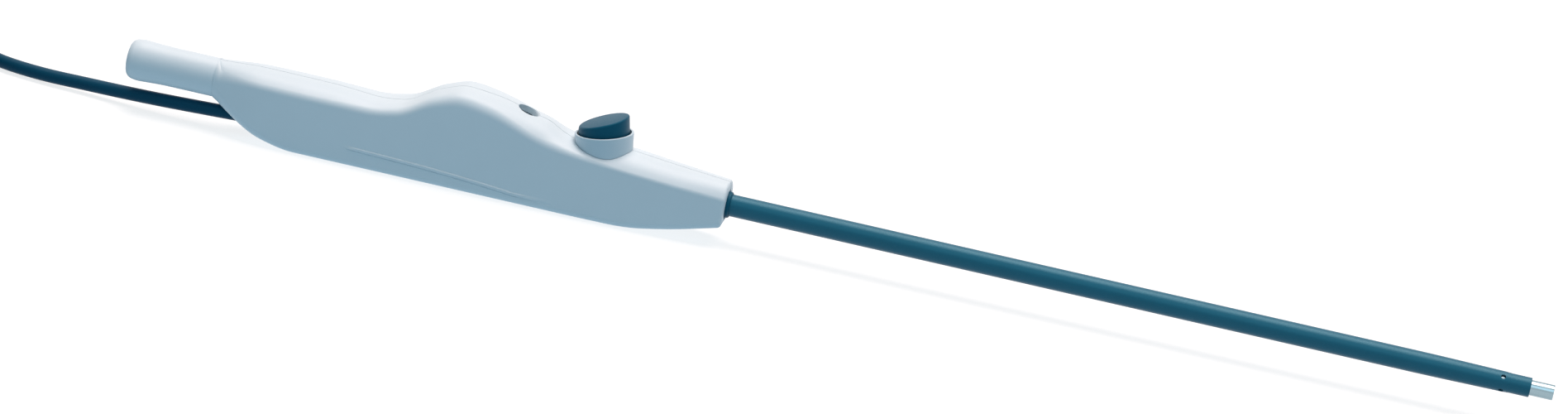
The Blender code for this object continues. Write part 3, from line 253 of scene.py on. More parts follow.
camera = bpy.data.objects.new("camera", bpy.data.cameras.new("camera"))
bpy.context.scene.collection.objects.link(camera)
bpy.context.scene.camera = camera
camera.data.sensor_width = 36
camera.data.lens = 139.89
camera.data.clip_start = 0.05
camera.data.clip_end = 30
camera.matrix_world = aim(
    Vector((0.10917, -1.04188, 0.34138)), yaw=math.radians(6.484), elevation=math.radians(17.587),
    roll=math.radians(10.857),
)


# Materials
PATCH_SIZE = 0.006


def linear(red, green, blue):
    """A colour from 0 to 255, as the linear values that a shader takes."""
    def one(v):
        v /= 255
        return v / 12.92 if v <= 0.04045 else ((v + 0.055) / 1.055) ** 2.4
    return (one(red), one(green), one(blue))


def noise(nodes, links, place, scale, detail, roughness=0.5):
    """The value of a noise texture at the place."""
    texture = nodes.new("ShaderNodeTexNoise")
    texture.inputs["Scale"].default_value = scale
    texture.inputs["Detail"].default_value = detail
    texture.inputs["Roughness"].default_value = roughness
    links.new(place, texture.inputs["Vector"])
    return texture.outputs["Fac"]


def spread(nodes, links, value, low, high):
    """The value's middle range, stretched to run from low to high."""
    change = nodes.new("ShaderNodeMapRange")
    change.inputs["From Min"].default_value = 0.3
    change.inputs["From Max"].default_value = 0.7
    change.inputs["To Min"].default_value = low
    change.inputs["To Max"].default_value = high
    links.new(value, change.inputs["Value"])
    return change.outputs["Result"]


def finish_material(
    name, colour, rough, grain_size, grain_depth, stretch=(1, 1, 1), tint=0.06, metallic=0.0,
    specular=0.5, shine=(1, 1, 1),
):
    """A surface whose colour drifts by the share in tint, with a fine grain and an uneven gloss."""
    material = bpy.data.materials.new(name)
    material.use_nodes = True
    material.diffuse_color = (*colour, 1)
    nodes, links = material.node_tree.nodes, material.node_tree.links
    shader = nodes["Principled BSDF"]
    where = nodes.new("ShaderNodeTexCoord")
    scaled = nodes.new("ShaderNodeMapping")
    scaled.inputs["Scale"].default_value = stretch
    links.new(where.outputs["Object"], scaled.inputs["Vector"])
    place = scaled.outputs["Vector"]
    patches = noise(nodes, links, place, 1 / PATCH_SIZE, 4.0)
    blend = nodes.new("ShaderNodeMix")
    blend.data_type = "RGBA"
    blend.inputs["A"].default_value = (*[c * (1 - tint) for c in colour], 1)
    blend.inputs["B"].default_value = (*[min(1.0, c * (1 + tint)) for c in colour], 1)
    links.new(patches, blend.inputs["Factor"])
    links.new(blend.outputs["Result"], shader.inputs["Base Color"])
    grain = noise(nodes, links, place, 1 / grain_size, 5.0, 0.6)
    links.new(spread(nodes, links, grain, rough * 0.88, rough * 1.15), shader.inputs["Roughness"])
    bump = nodes.new("ShaderNodeBump")
    bump.inputs["Distance"].default_value = grain_depth
    links.new(grain, bump.inputs["Height"])
    links.new(bump.outputs["Normal"], shader.inputs["Normal"])
    shader.inputs["Metallic"].default_value = metallic
    shader.inputs["Specular IOR Level"].default_value = specular
    shader.inputs["Specular Tint"].default_value = (*shine, 1)
    return material


PALE = finish_material(
    "pale_plastic", (0.66, 0.76, 0.81), 0.42, 0.00025, 0.000004, tint=0.02, specular=0.35
)
COLLAR = finish_material(
    "collar_plastic", (0.52, 0.65, 0.72), 0.40, 0.00025, 0.000004, tint=0.02, specular=0.35
)
DARK = finish_material(
    "dark_teal_plastic", linear(2, 84, 108), 0.38, 0.0003, 0.000005, tint=0.08, specular=0.5,
    shine=(0.4, 0.85, 1),
)
# The button's own dark plastic. On the nose ring it is also painted shade, the dark where the shaft enters
# the nose
BUTTON_AND_NOSE_SHADE = finish_material(
    "button_plastic_and_nose_shade", linear(1, 72, 96), 0.44, 0.00022, 0.000006, tint=0.06, specular=0.25,
    shine=(0.3, 0.8, 1),
)
STEEL = finish_material(
    "stainless_steel", (0.29, 0.40, 0.45), 0.16, 0.0002, 0.0000015, stretch=(0.03, 1, 1), tint=0.03,
    metallic=1.0,
)
SPRING = finish_material("spring_steel", (0.62, 0.66, 0.70), 0.28, 0.0002, 0.000002, tint=0.05, metallic=1.0)
BRASS = finish_material(
    "plated_brass", (0.83, 0.78, 0.66), 0.2, 0.0002, 0.0000015, stretch=(0.1, 1, 1), tint=0.04, metallic=1.0
)
RUBBER = finish_material(
    "cord_rubber", linear(3, 62, 86), 0.45, 0.0003, 0.000008, tint=0.1, specular=0.15, shine=(0.4, 0.8, 1)
)
SILICONE = finish_material("silicone", (0.74, 0.79, 0.82), 0.35, 0.0004, 0.000006, tint=0.03)
INSULATION = finish_material("wire_insulation", (0.30, 0.42, 0.50), 0.4, 0.0003, 0.000004)
BOARD = finish_material("switch_board", (0.05, 0.22, 0.20), 0.35, 0.0003, 0.000004, tint=0.12)
BAND = finish_material("tie_band", (0.62, 0.68, 0.72), 0.55, 0.0002, 0.000006, tint=0.03)


# Making pieces
def place_piece(name, mesh, material, node, body="handle"):
    """An object with this mesh and finish, which stands for the CAD node and rides on the body."""
    mesh.materials.clear()
    mesh.materials.append(material)
    item = bpy.data.objects.new(name, mesh)
    bpy.context.scene.collection.objects.link(item)
    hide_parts(node)
    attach(item, body)
    return item


def as_mesh(name, bm, sharp=32):
    """A smooth-shaded mesh with sharp edges where faces meet at more than that many degrees."""
    bmesh.ops.recalc_face_normals(bm, faces=bm.faces)
    mesh = bpy.data.meshes.new(name)
    bm.to_mesh(mesh)
    bm.free()
    mesh.shade_smooth()
    mesh.set_sharp_from_angle(angle=math.radians(sharp))
    return mesh


def along_x(x, z, y=0.0):
    """The place of a turned piece whose axis runs along X."""
    return Matrix.Translation((x, y, z)) @ Matrix.Rotation(math.radians(90), 4, "Y")


def leaning(x, z, direction):
    """The place of a turned piece whose axis leans in the XZ plane, along the direction."""
    angle = math.atan2(direction.x, direction.z)
    return Matrix.Translation((x, 0, z)) @ Matrix.Rotation(angle, 4, "Y")


def rounded(profile, radii, steps):
    """The closed profile with each corner turned into an arc-like curve of about its radius."""
    found = []
    count = len(profile)
    for i, (corner, radius) in enumerate(zip(profile, radii)):
        here = Vector(corner)
        before, after = Vector(profile[i - 1]) - here, Vector(profile[(i + 1) % count]) - here
        cut = min(radius, 0.45 * before.length, 0.45 * after.length)
        if cut < 1e-6:
            found.append(here)
            continue
        start, end = here + cut * before.normalized(), here + cut * after.normalized()
        for k in range(steps + 1):
            t = k / steps
            found.append((1 - t) ** 2 * start + 2 * t * (1 - t) * here + t**2 * end)
    return [(p.x, p.y) for p in found]


def rounded_points(points, steps):
    """The rounded profile from points of two coordinates and how far the corner is rounded."""
    return rounded([point[:2] for point in points], [point[2] for point in points], steps)


def turned_bmesh(profile, place, steps):
    """A ring-shaped body from a closed (radius, height) profile, or a solid one if it meets its axis."""
    bm = bmesh.new()
    rings = []
    for radius, height in profile:
        if radius < 1e-7:
            rings.append([bm.verts.new((0, 0, height))])
            continue
        angles = [2 * math.pi * k / steps for k in range(steps)]
        rings.append([bm.verts.new((radius * math.cos(a), radius * math.sin(a), height)) for a in angles])
    closed = len(rings[0]) > 1
    pairs = list(zip(rings, rings[1:] + ([rings[0]] if closed else [])))
    for near, far in pairs:
        for k in range(steps):
            j = (k + 1) % steps
            corners = []
            for ring, index in ((near, k), (near, j), (far, j), (far, k)):
                vertex = ring[index % len(ring)]
                if vertex not in corners:
                    corners.append(vertex)
            if len(corners) > 2:
                bm.faces.new(corners)
    bm.transform(place)
    return bm


def turned(name, profile, material, place, steps, node):
    """A piece turned to the profile, which stands for the CAD node."""
    bm = turned_bmesh(profile, SHIFT @ place, steps)
    return place_piece(name, as_mesh(name, bm), material, node)


def loft_bmesh(sections):
    """A closed body through the sections, which have as many points each."""
    bm = bmesh.new()
    loops = [[bm.verts.new(p) for p in section] for section in sections]
    count = len(sections[0])
    for near, far in zip(loops, loops[1:]):
        for i in range(count):
            j = (i + 1) % count
            bm.faces.new((near[i], near[j], far[j], far[i]))
    bm.faces.new(loops[0])
    bm.faces.new(loops[-1])
    return bm


def rod_bmesh(start, end, radius, steps=48):
    """A cylinder between two points."""
    start, end = Vector(start), Vector(end)
    run = end - start
    bm = bmesh.new()
    bmesh.ops.create_cone(
        bm, cap_ends=True, segments=steps, radius1=radius, radius2=radius, depth=run.length
    )
    turn = Vector((0, 0, 1)).rotation_difference(run).to_matrix().to_4x4()
    bm.transform(Matrix.Translation((start + end) / 2) @ turn)
    return bm


def box_bmesh(low, high):
    """A box between its lowest and its highest corner."""
    bm = bmesh.new()
    bmesh.ops.create_cube(bm, size=1)
    bmesh.ops.scale(bm, vec=Vector(high) - Vector(low), verts=bm.verts)
    bmesh.ops.translate(bm, vec=(Vector(high) + Vector(low)) / 2, verts=bm.verts)
    return bm


def carve(bm, changes, bevel=None):
    """The mesh after each (operation, other mesh), made with Booleans.

    A bevel, given as its width, its steps and the least angle in degrees, comes before them.
    """
    target = bpy.data.objects.new("carve_target", as_mesh("carve_target", bm))
    bpy.context.scene.collection.objects.link(target)
    if bevel:
        edge = target.modifiers.new("edge", "BEVEL")
        edge.width, edge.segments = bevel[:2]
        edge.limit_method = "ANGLE"
        edge.angle_limit = math.radians(bevel[2])
    helpers = []
    for operation, other in changes:
        helper = bpy.data.objects.new("carve_helper", as_mesh("carve_helper", other))
        bpy.context.scene.collection.objects.link(helper)
        helpers.append(helper)
        boolean = target.modifiers.new("carve", "BOOLEAN")
        boolean.operation = operation
        boolean.object = helper
        boolean.solver = "EXACT"
    bpy.context.view_layer.update()
    evaluated = target.evaluated_get(bpy.context.evaluated_depsgraph_get())
    result = bmesh.new()
    result.from_mesh(bpy.data.meshes.new_from_object(evaluated))
    for item in (target, *helpers):
        bpy.data.objects.remove(item, do_unlink=True)
    return result


# Cord, folded into a tied hank behind the handle
def ease(t):
    """A smooth change from 0 to 1 as t goes from 0 to 1."""
    t = min(max(t, 0.0), 1.0)
    return t * t * (3 - 2 * t)


def hank_points():
    """The middle line of the wound cord, in layers of nested loops, and the middle of the hank in X."""
    arcs = sum(2 * math.pi * (HANK_FOLD_RADIUS + column * HANK_PITCH) for column in range(HANK_COLUMNS))
    free = path_length(LEAD_ROUTE) + path_length(TAIL_ROUTE) + HANK_JOINS
    turns = HANK_COLUMNS * HANK_LAYERS
    run = (CORD_LENGTH - free - HANK_LAYERS * arcs) / (2 * turns + 1)
    front = HANK_END_X - HANK_HALF_WIDTH
    rear = front - run
    seats = []
    for layer in range(HANK_LAYERS):
        columns = range(HANK_COLUMNS)
        for column in reversed(columns) if layer % 2 == 0 else columns:
            seats.append((HANK_FOLD_RADIUS + column * HANK_PITCH, layer))
    # A last run on top leads out towards the plug
    seats.append((seats[-1][0], HANK_LAYERS))
    base = HANK_BASE + CORD_RADIUS
    points = []
    before = seats[0]
    for radius, layer in seats:
        # On its way back from the fold, the cord moves over to its next place
        for k in range(HANK_RUN_STEPS):
            t = k / HANK_RUN_STEPS
            move = ease((t - 0.1) / 0.8)
            y = before[0] + (radius - before[0]) * move
            z = base + HANK_PITCH * (before[1] + (layer - before[1]) * move)
            points.append((front - run * t, y, z))
        if layer == HANK_LAYERS:
            break
        z = base + HANK_PITCH * layer
        fold = [math.pi * k / HANK_FOLD_STEPS for k in range(HANK_FOLD_STEPS)]
        points += [(rear - radius * math.sin(angle), radius * math.cos(angle), z) for angle in fold]
        points += [(rear + run * k / HANK_BACK_STEPS, -radius, z) for k in range(HANK_BACK_STEPS)]
        points += [(front + radius * math.sin(angle), -radius * math.cos(angle), z) for angle in fold]
        before = (radius, layer)
    return points, (front + rear) / 2


def make_cord(wound):
    """The whole cord in one piece: from the handle, through the wound hank, to the plug."""
    line = [
        *curve_through([*LEAD_ROUTE, wound[0]], 0.002)[:-1],
        *wound,
        *curve_through([wound[-1], *TAIL_ROUTE], 0.002)[1:],
    ]
    curve = bpy.data.curves.new("power_cord", "CURVE")
    curve.dimensions = "3D"
    curve.bevel_depth = CORD_RADIUS
    curve.bevel_resolution = 3
    curve.use_fill_caps = True
    spline = curve.splines.new("POLY")
    spline.points.add(len(line) - 1)
    for point, (x, y, z) in zip(spline.points, line):
        point.co = (x - ORIGIN_X, y, z, 1)
    spline.use_smooth = True
    curve.materials.append(RUBBER)
    cord = bpy.data.objects.new("power_cord", curve)
    bpy.context.scene.collection.objects.link(cord)
    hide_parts("power_cord_lead", "power_cord_hank", "power_cord_tail")
    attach(cord, "handle")
    return cord


wound_points, hank_middle_x = hank_points()
power_cord = make_cord(wound_points)


# Tie round the hank
def band_loop(half_width, low, high, corner, steps=8):
    """A rounded rectangle as (y, z) points."""
    found = []
    for centre_y, centre_z, first in (
        (half_width - corner, high - corner, 0), (corner - half_width, high - corner, 90),
        (corner - half_width, low + corner, 180), (half_width - corner, low + corner, 270),
    ):
        for k in range(steps + 1):
            angle = math.radians(first + 90 * k / steps)
            found.append((centre_y + corner * math.cos(angle), centre_z + corner * math.sin(angle)))
    return found


def make_band(centre_x):
    """A flat band close round the hank. Its profile is (share of its thickness, x)."""
    half_width, thickness, corner = HANK_HALF_WIDTH + 0.00005, BAND_THICKNESS, BAND_CORNER
    low, high = HANK_BASE - GAP, HANK_BASE + HANK_HEIGHT + 0.00005
    inner = band_loop(half_width, low, high, corner)
    outer = band_loop(half_width + thickness, low - thickness, high + thickness, corner + thickness)
    bm = bmesh.new()
    half, edge = BAND_WIDTH / 2, 0.00012
    profile = (
        (0, -half), (0, half), (edge / thickness, half), (1, half - edge), (1, edge - half),
        (edge / thickness, -half),
    )
    rows = []
    for (iy, iz), (oy, oz) in zip(inner, outer):
        rows.append([
            bm.verts.new((centre_x + x - ORIGIN_X, iy + (oy - iy) * share, iz + (oz - iz) * share))
            for share, x in profile
        ])
    for near, far in zip(rows, rows[1:] + rows[:1]):
        for i in range(len(profile)):
            j = (i + 1) % len(profile)
            bm.faces.new((near[i], near[j], far[j], far[i]))
    return place_piece("hank_band", as_mesh("hank_band", bm), BAND, "hank_tie")


hank_band = make_band(hank_middle_x)

# Plug, its strain relief and its pins
relief_bore = CORD_RADIUS + 0.00008
relief_end_x = PLUG_END_X - RELIEF_LENGTH
relief_profile = [(relief_bore, PLUG_END_X), (0.0019, PLUG_END_X)]
for rib in range(RELIEF_RIBS):
    rib_top = PLUG_END_X - 0.0004 - rib * 0.0025
    rib_radius = 0.0022 + 0.0012 * rib / (RELIEF_RIBS - 1)
    relief_profile += [
        (rib_radius, rib_top), (rib_radius + 0.00008, rib_top - 0.0015),
        (rib_radius - 0.0005, rib_top - 0.0017), (rib_radius - 0.0005, rib_top - 0.0023),
    ]
relief_profile += [(0.0034, relief_end_x + 0.0004), (0.0034, relief_end_x), (relief_bore, relief_end_x)]
strain_relief = turned(
    "strain_relief", rounded_points([(*point, 0.0002) for point in relief_profile], 3), RUBBER,
    along_x(0, PLUG_HEIGHT), 48, "plug_strain_relief",
)


def make_plug_body():
    """A flat plug that widens towards its pins, with grip grooves and sockets for the cord and pins."""
    rear, front, depth = PLUG_REAR_X, PLUG_FRONT_X, PLUG_DEPTH
    shoulder = front + 0.40 * depth
    neck, wide = 0.0075, 0.022
    outline = rounded_points((
        (rear, -neck, 0.002), (rear, neck, 0.002), (rear - 0.35 * depth, 1.25 * neck, 0.006),
        (shoulder, 0.93 * wide, 0.008), (front + 0.2 * depth, wide, 0.004), (front, wide, 0.0015),
        (front, -wide, 0.0015), (front + 0.2 * depth, -wide, 0.004), (shoulder, -0.93 * wide, 0.008),
        (rear - 0.35 * depth, -1.25 * neck, 0.006),
    ), 5)
    bm = loft_bmesh([[(x, y, height) for x, y in outline] for height in (0.0, PLUG_THICKNESS)])
    sockets = [rod_bmesh((rear + 0.001, 0, PLUG_HEIGHT), (rear - 0.004, 0, PLUG_HEIGHT), CORD_RADIUS + GAP)]
    for y in PIN_PLACES:
        sockets.append(rod_bmesh((front - 0.001, y, PLUG_HEIGHT), (front + PIN_INSIDE, y, PLUG_HEIGHT),
                                 PIN_RADIUS + SLIP_GAP))
    grooves = []
    for level in (0.0, PLUG_THICKNESS):
        for k in range(5):
            x = rear - 0.004 - 0.0022 * k
            reach = 0.0052 + 0.0004 * k
            grooves.append(rod_bmesh((x, -reach, level), (x, reach, level), 0.00055, 12))
    changes = [("DIFFERENCE", cutter) for cutter in (*sockets, *grooves)]
    body = carve(bm, changes, bevel=(0.0022, 6, 60))
    body.transform(SHIFT)
    return place_piece(
        "plug_housing", as_mesh("plug_housing", body), DARK, "plug_body"
    )


plug_housing = make_plug_body()
pin_root_x = PLUG_FRONT_X + PIN_INSIDE - GAP
pin_tip_x = PLUG_FRONT_X - PIN_LENGTH
pin_profile = [(0, pin_root_x), (PIN_RADIUS, pin_root_x), (PIN_RADIUS, pin_tip_x + PIN_ROUND)]
for tip_angle in (math.radians(15 * k) for k in range(1, 7)):
    pin_profile.append((PIN_RADIUS - PIN_ROUND * (1 - math.cos(tip_angle)),
                        pin_tip_x + PIN_ROUND * (1 - math.sin(tip_angle))))
pin_profile.append((0, pin_tip_x))
plug_pins = [
    turned(
        f"contact_pin_{number}", pin_profile, BRASS, along_x(0, PLUG_HEIGHT, y), 40,
        f"plug_pin_{number}",
    )
    for number, y in enumerate(PIN_PLACES, 1)
]


# Housing
def bead_depth(x):
    """How far the low bead along each side stands out: it starts short and fades towards the nose."""
    return BEAD_DEPTH * ease((x + 0.0695) / 0.0012) * ease((-0.0290 - x) / 0.0100)


def housing_section(x, inset, corner_steps):
    """The housing's outline across X, drawn in by the inset and, at the nose, by the nose's rounding."""
    depth = NOSE_ROUND - min(NOSE_X - x, NOSE_ROUND)
    drawn = inset + NOSE_ROUND - math.sqrt(NOSE_ROUND**2 - depth**2)
    half = smooth(WIDTH_LINE, x) - drawn
    low = smooth(BOTTOM_LINE, x) + drawn
    high = smooth(TOP_LINE, x) - drawn
    most = min(half, (high - low) / 2) * ROUNDEST
    top_radius = min(max(smooth(TOP_RADIUS_LINE, x) - drawn, 0.0004), most)
    low_radius = min(max(smooth(BOTTOM_RADIUS_LINE, x) - drawn, 0.0004), most)
    straight_low, straight_high = low + low_radius, high - top_radius
    run = straight_high - straight_low
    bead = min(max(smooth(BEAD_LINE, x), straight_low + 1.6 * BEAD_WIDTH), straight_low + 0.7 * run)
    proud = half + (bead_depth(x) if inset <= 0 else 0.0)
    step = min(BEAD_DEPTH / 2, 0.1 * run)
    lower = bead - min(BEAD_WIDTH, 0.3 * run)
    side = []
    # The lower corner
    for k in range(corner_steps + 1):
        angle = -math.pi / 2 + k * math.pi / 2 / corner_steps
        side.append((half - low_radius + low_radius * math.cos(angle),
                     straight_low + low_radius * math.sin(angle)))
    # The flat side, with its bead over a shallow groove
    groove = half - 0.8 * (proud - half)
    side += [(half, lower - 4 * step), (half, lower - 2 * step), (groove, lower), (proud, lower + 1.5 * step),
             (proud, bead - step), (half, bead + step), (half, bead + 3 * step)]
    # The upper corner, which ends in the slope of the crowned top
    flat = half - top_radius
    lean = math.atan2(CROWN_POWER * smooth(CROWN_LINE, x), flat)
    for k in range(corner_steps + 1):
        angle = k * (math.pi / 2 - lean) / corner_steps
        side.append((flat + top_radius * math.cos(angle), straight_high + top_radius * math.sin(angle)))
    edge_y, edge_z = side[-1]
    rise = edge_y * math.tan(lean) / CROWN_POWER
    for k in range(1, corner_steps):
        share = 1 - k / corner_steps
        side.append((edge_y * share, edge_z + rise * (1 - share**CROWN_POWER)))
    middle = [(x, 0.0, edge_z + rise)]
    return [(x, y, z) for y, z in side] + middle + [(x, -y, z) for y, z in reversed(side)]


def stations(start, end, step):
    """Places from start to end, evenly spaced and at most a step apart."""
    count = max(1, math.ceil((end - start) / step))
    return [start + (end - start) * k / count for k in range(count + 1)]


def make_housing():
    """The lofted housing with its cavity and openings, cut into its two halves."""
    nose = [NOSE_X - NOSE_ROUND * math.cos(k * math.pi / 14) for k in range(1, 7)]
    places = [*stations(REAR_X, NOSE_X - NOSE_ROUND, 0.0009), *nose, NOSE_X]
    outer = loft_bmesh([housing_section(x, 0.0, 8) for x in places])
    cavity = loft_bmesh([housing_section(x, WALL, 4) for x in stations(REAR_X + 0.009, -0.008, 0.002)])
    neck = CONNECTOR_NECK + SLIP_GAP
    rear_passage = turned_bmesh(
        [(0, REAR_X + 0.0100), (neck, REAR_X + 0.0100), (neck, REAR_X - 0.001), (0, REAR_X - 0.001)],
        along_x(0, CONNECTOR_HEIGHT), 64,
    )
    bore = RING_RADIUS + SLIP_GAP
    nose_passage = turned_bmesh(
        [(0, 0.002), (bore + 0.0012, 0.002), (bore + 0.0003, NOSE_X + 0.00005), (bore, NOSE_X - 0.0003),
         (bore, -0.009), (0, -0.009)],
        along_x(0, SHAFT_HEIGHT), 64,
    )
    cord_passage = rod_bmesh((REAR_X - 0.004, 0, 0.0029), (-0.0850, 0, 0.0034), CORD_RADIUS + GAP)
    vent = Vector((VENT_X, 0, crest(VENT_X)))
    vent_passage = turned_bmesh(
        [(0, 0.004), (VENT_RADIUS + 0.0042, 0.004), (VENT_RADIUS + 0.0003, 0.00012),
         (VENT_RADIUS + 0.0001, -0.00008), (VENT_RADIUS, -0.0004), (VENT_RADIUS, -0.004), (0, -0.004)],
        leaning(vent.x, vent.z, VENT_AXIS), 64,
    )
    button = Vector((BUTTON_X, 0, SEAT_HEIGHT))
    button_passage = rod_bmesh(button - 0.003 * BUTTON_AXIS, button + 0.004 * BUTTON_AXIS,
                               SKIRT_RADIUS + SLIP_GAP)
    button_pocket = rod_bmesh(button + (BEZEL_FLOOR - GAP) * BUTTON_AXIS, button + 0.004 * BUTTON_AXIS,
                              BUTTON_RADIUS + GAP)
    cutters = (cavity, rear_passage, nose_passage, cord_passage, vent_passage, button_passage, button_pocket)
    whole = carve(outer, [("DIFFERENCE", cutter) for cutter in cutters])
    for side, name, node in ((1, "housing_left", "handle_shell_left"),
                             (-1, "housing_right", "handle_shell_right")):
        near, far = side * SEAM_GAP / 2, side * 0.02
        keep = box_bmesh((-0.11, min(near, far), -0.01), (0.01, max(near, far), 0.03))
        half = carve(whole.copy(), [("INTERSECT", keep)])
        half.transform(SHIFT)
        place_piece(name, as_mesh(name, half, 35), PALE, node)
    whole.free()


make_housing()

# Rear connector: each point of its profile, from the barb inside to the lip and back through the bore,
# is (radius, x, how far its corner is rounded)
connector_points = (
    (0.00128, REAR_X + 0.0170, 0.0001), (0.00148, REAR_X + 0.0162, 0.0003),
    (0.00128, REAR_X + 0.0146, 0.0003), (0.00128, REAR_X + 0.0085, 0.0003),
    (CONNECTOR_NECK, REAR_X + 0.0085, 0.0003), (CONNECTOR_NECK, REAR_X - SEAT_GAP, 0.00005),
    (CONNECTOR_RADIUS, REAR_X - SEAT_GAP, 0.00004), (CONNECTOR_RADIUS, CONNECTOR_END_X + 0.0070, 0.003),
    (LIP_RADIUS - 0.0001, CONNECTOR_END_X + 0.0040, 0.0015), (LIP_RADIUS, CONNECTOR_END_X + 0.0022, 0.001),
    (LIP_RADIUS - 0.0002, CONNECTOR_END_X + 0.0009, 0.0008),
    (LIP_RADIUS - 0.0006, CONNECTOR_END_X + 0.0003, 0.0005), (LIP_RADIUS - 0.0011, CONNECTOR_END_X, 0.0004),
    (CONNECTOR_BORE + 0.0003, CONNECTOR_END_X, 0.0003), (CONNECTOR_BORE, CONNECTOR_END_X + 0.0004, 0.0003),
    (CONNECTOR_BORE, REAR_X, 0.001), (0.00098, REAR_X + 0.002, 0.001), (0.00098, REAR_X + 0.0170, 0.0001),
)
turned(
    "tubing_connector", rounded_points(connector_points, 5), PALE, along_x(0, CONNECTOR_HEIGHT), 80,
    "suction_connector",
)

# Cannula, its insulating jacket and the ring in the nose
cannula_points = (
    (CANNULA_BORE, CANNULA_TIP_X, 0.00009), (CANNULA_RADIUS, CANNULA_TIP_X, 0.00012),
    (CANNULA_RADIUS, CANNULA_START_X, 0.00002), (CANNULA_BORE, CANNULA_START_X, 0.00002),
)
turned(
    "suction_cannula", rounded_points(cannula_points, 5), STEEL, along_x(0, SHAFT_HEIGHT), 72,
    "cannula_tube",
)


def make_jacket():
    """The sleeve on the cannula, which narrows near its end and has four small windows there."""
    end = JACKET_END_X
    points = (
        (JACKET_BORE, end, 0.00003), (JACKET_NECK - 0.00008, end, 0.00006),
        (JACKET_NECK, end - 0.00012, 0.0001), (JACKET_NECK, end - 0.0037, 0.0003),
        (JACKET_NECK + 0.00004, end - 0.0039, 0.0002), (JACKET_NECK + 0.00003, end - 0.0043, 0.0002),
        (JACKET_NECK + 0.00008, end - 0.0046, 0.0004), (JACKET_RADIUS, end - 0.018, 0.004),
        (JACKET_RADIUS, JACKET_START_X, 0.0001), (JACKET_BORE, JACKET_START_X, 0.0001),
    )
    bm = turned_bmesh(rounded_points(points, 4), along_x(0, SHAFT_HEIGHT), 72)
    middle = Vector((end - WINDOW_SETBACK, 0, SHAFT_HEIGHT))
    changes = []
    for k in range(4):
        angle = math.radians(45 + 90 * k)
        out = Vector((0, math.cos(angle), math.sin(angle)))
        window = rod_bmesh(middle + CANNULA_RADIUS * out, middle + 0.003 * out, WINDOW_RADIUS, 24)
        changes.append(("DIFFERENCE", window))
    body = carve(bm, changes)
    body.transform(SHIFT)
    place_piece(
        "shaft_sleeve", as_mesh("shaft_sleeve", body), DARK, "insulating_jacket"
    )


make_jacket()
ring_bore = JACKET_RADIUS + 0.0001
ring_points = (
    (RING_RADIUS - 0.0002, RING_END_X, 0.0002), (RING_RADIUS + 0.00002, RING_END_X - 0.0002, 0.0002),
    (RING_RADIUS + 0.00002, -0.0040, 0.00005), (RING_RADIUS + 0.0003, -0.0040, 0.0001),
    (RING_RADIUS + 0.0003, -0.0050, 0.0001), (RING_RADIUS, -0.0050, 0.00005),
    (RING_RADIUS, -0.0075, 0.0001), (ring_bore, -0.0075, 0.0001), (ring_bore, RING_END_X, 0.0001),
)
# The ring stands proud in the button's darker plastic: partly the bushing's own dark colour, partly painted
# shade where the shaft enters the nose
turned(
    "nose_ring", rounded_points(ring_points, 4), BUTTON_AND_NOSE_SHADE, along_x(0, SHAFT_HEIGHT), 64,
    "nose_bushing",
)

# Collar and push button
button_frame = leaning(BUTTON_X, SEAT_HEIGHT, BUTTON_AXIS)


def make_collar():
    """The cup round the button, cut to the housing's top, with a skirt inside that guides the button."""
    inner, guide = BUTTON_RADIUS + GAP, GUIDE_BORE
    points = (
        (inner, BEZEL_HEIGHT, 0.00012), (BEZEL_RADIUS, BEZEL_HEIGHT, 0.00022),
        (BEZEL_RADIUS - 0.00045, -0.0025, 0.00001), (guide, -0.0025, 0.00001),
        (guide, BEZEL_FLOOR, 0.0001), (inner, BEZEL_FLOOR, 0.0002),
    )
    bm = turned_bmesh(rounded_points(points, 4), button_frame, 96)
    clear = loft_bmesh([housing_section(x, -0.00008, 8) for x in stations(-0.034, -0.012, 0.0009)])
    skirt = turned_bmesh(
        [(SKIRT_RADIUS, BEZEL_FLOOR - 0.0002), (SKIRT_RADIUS, -0.0022), (guide, -0.0022),
         (guide, BEZEL_FLOOR - 0.0002)],
        button_frame, 64,
    )
    body = carve(bm, [("DIFFERENCE", clear), ("UNION", skirt)])
    body.transform(SHIFT)
    place_piece("button_collar", as_mesh("button_collar", body), COLLAR, "button_bezel")


def make_button():
    """The cap with its sloping top, and the stem that meets the snap dome at the end of the press."""
    foot = BEZEL_FLOOR + BUTTON_TRAVEL + GAP
    slope = (BUTTON_FRONT_RISE - BUTTON_REAR_RISE) / (2 * BUTTON_RADIUS)
    middle = BEZEL_HEIGHT + (BUTTON_FRONT_RISE + BUTTON_REAR_RISE) / 2
    bm = bmesh.new()
    bmesh.ops.create_cone(bm, cap_ends=True, segments=96, radius1=BUTTON_RADIUS, radius2=BUTTON_RADIUS,
                          depth=1)
    for vertex in bm.verts:
        vertex.co.z = middle + slope * vertex.co.x if vertex.co.z > 0 else foot
    bm.transform(button_frame)
    stem = turned_bmesh(
        [(0, foot + 0.0009), (GUIDE_RADIUS, foot + 0.0009), (GUIDE_RADIUS, 0.0010), (STEM_RADIUS, 0.0010),
         (STEM_RADIUS, 0.0005), (0, 0.0005)],
        button_frame, 48,
    )
    body = carve(bm, [("UNION", stem)], bevel=(0.0004, 5, 50))
    body.transform(SHIFT)
    place_piece("push_button", as_mesh("push_button", body, 40), BUTTON_AND_NOSE_SHADE,
                "coag_button", body="button")


make_collar()
make_button()

# Inner pieces keep the CAD's shapes and get a better finish
for node, material in {
    "suction_hose": SILICONE, "vent_manifold": PALE, "cannula_seal": SILICONE, "vent_gasket": SILICONE,
    "snap_dome": SPRING, "switch_board": BOARD, "active_contact": SPRING, "wire_active": INSULATION,
    "wire_switch_1": INSULATION, "wire_switch_2": INSULATION, "cord_crimp": SPRING,
}.items():
    inner_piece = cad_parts[node]
    inner_piece.data.materials.clear()
    inner_piece.data.materials.append(material)


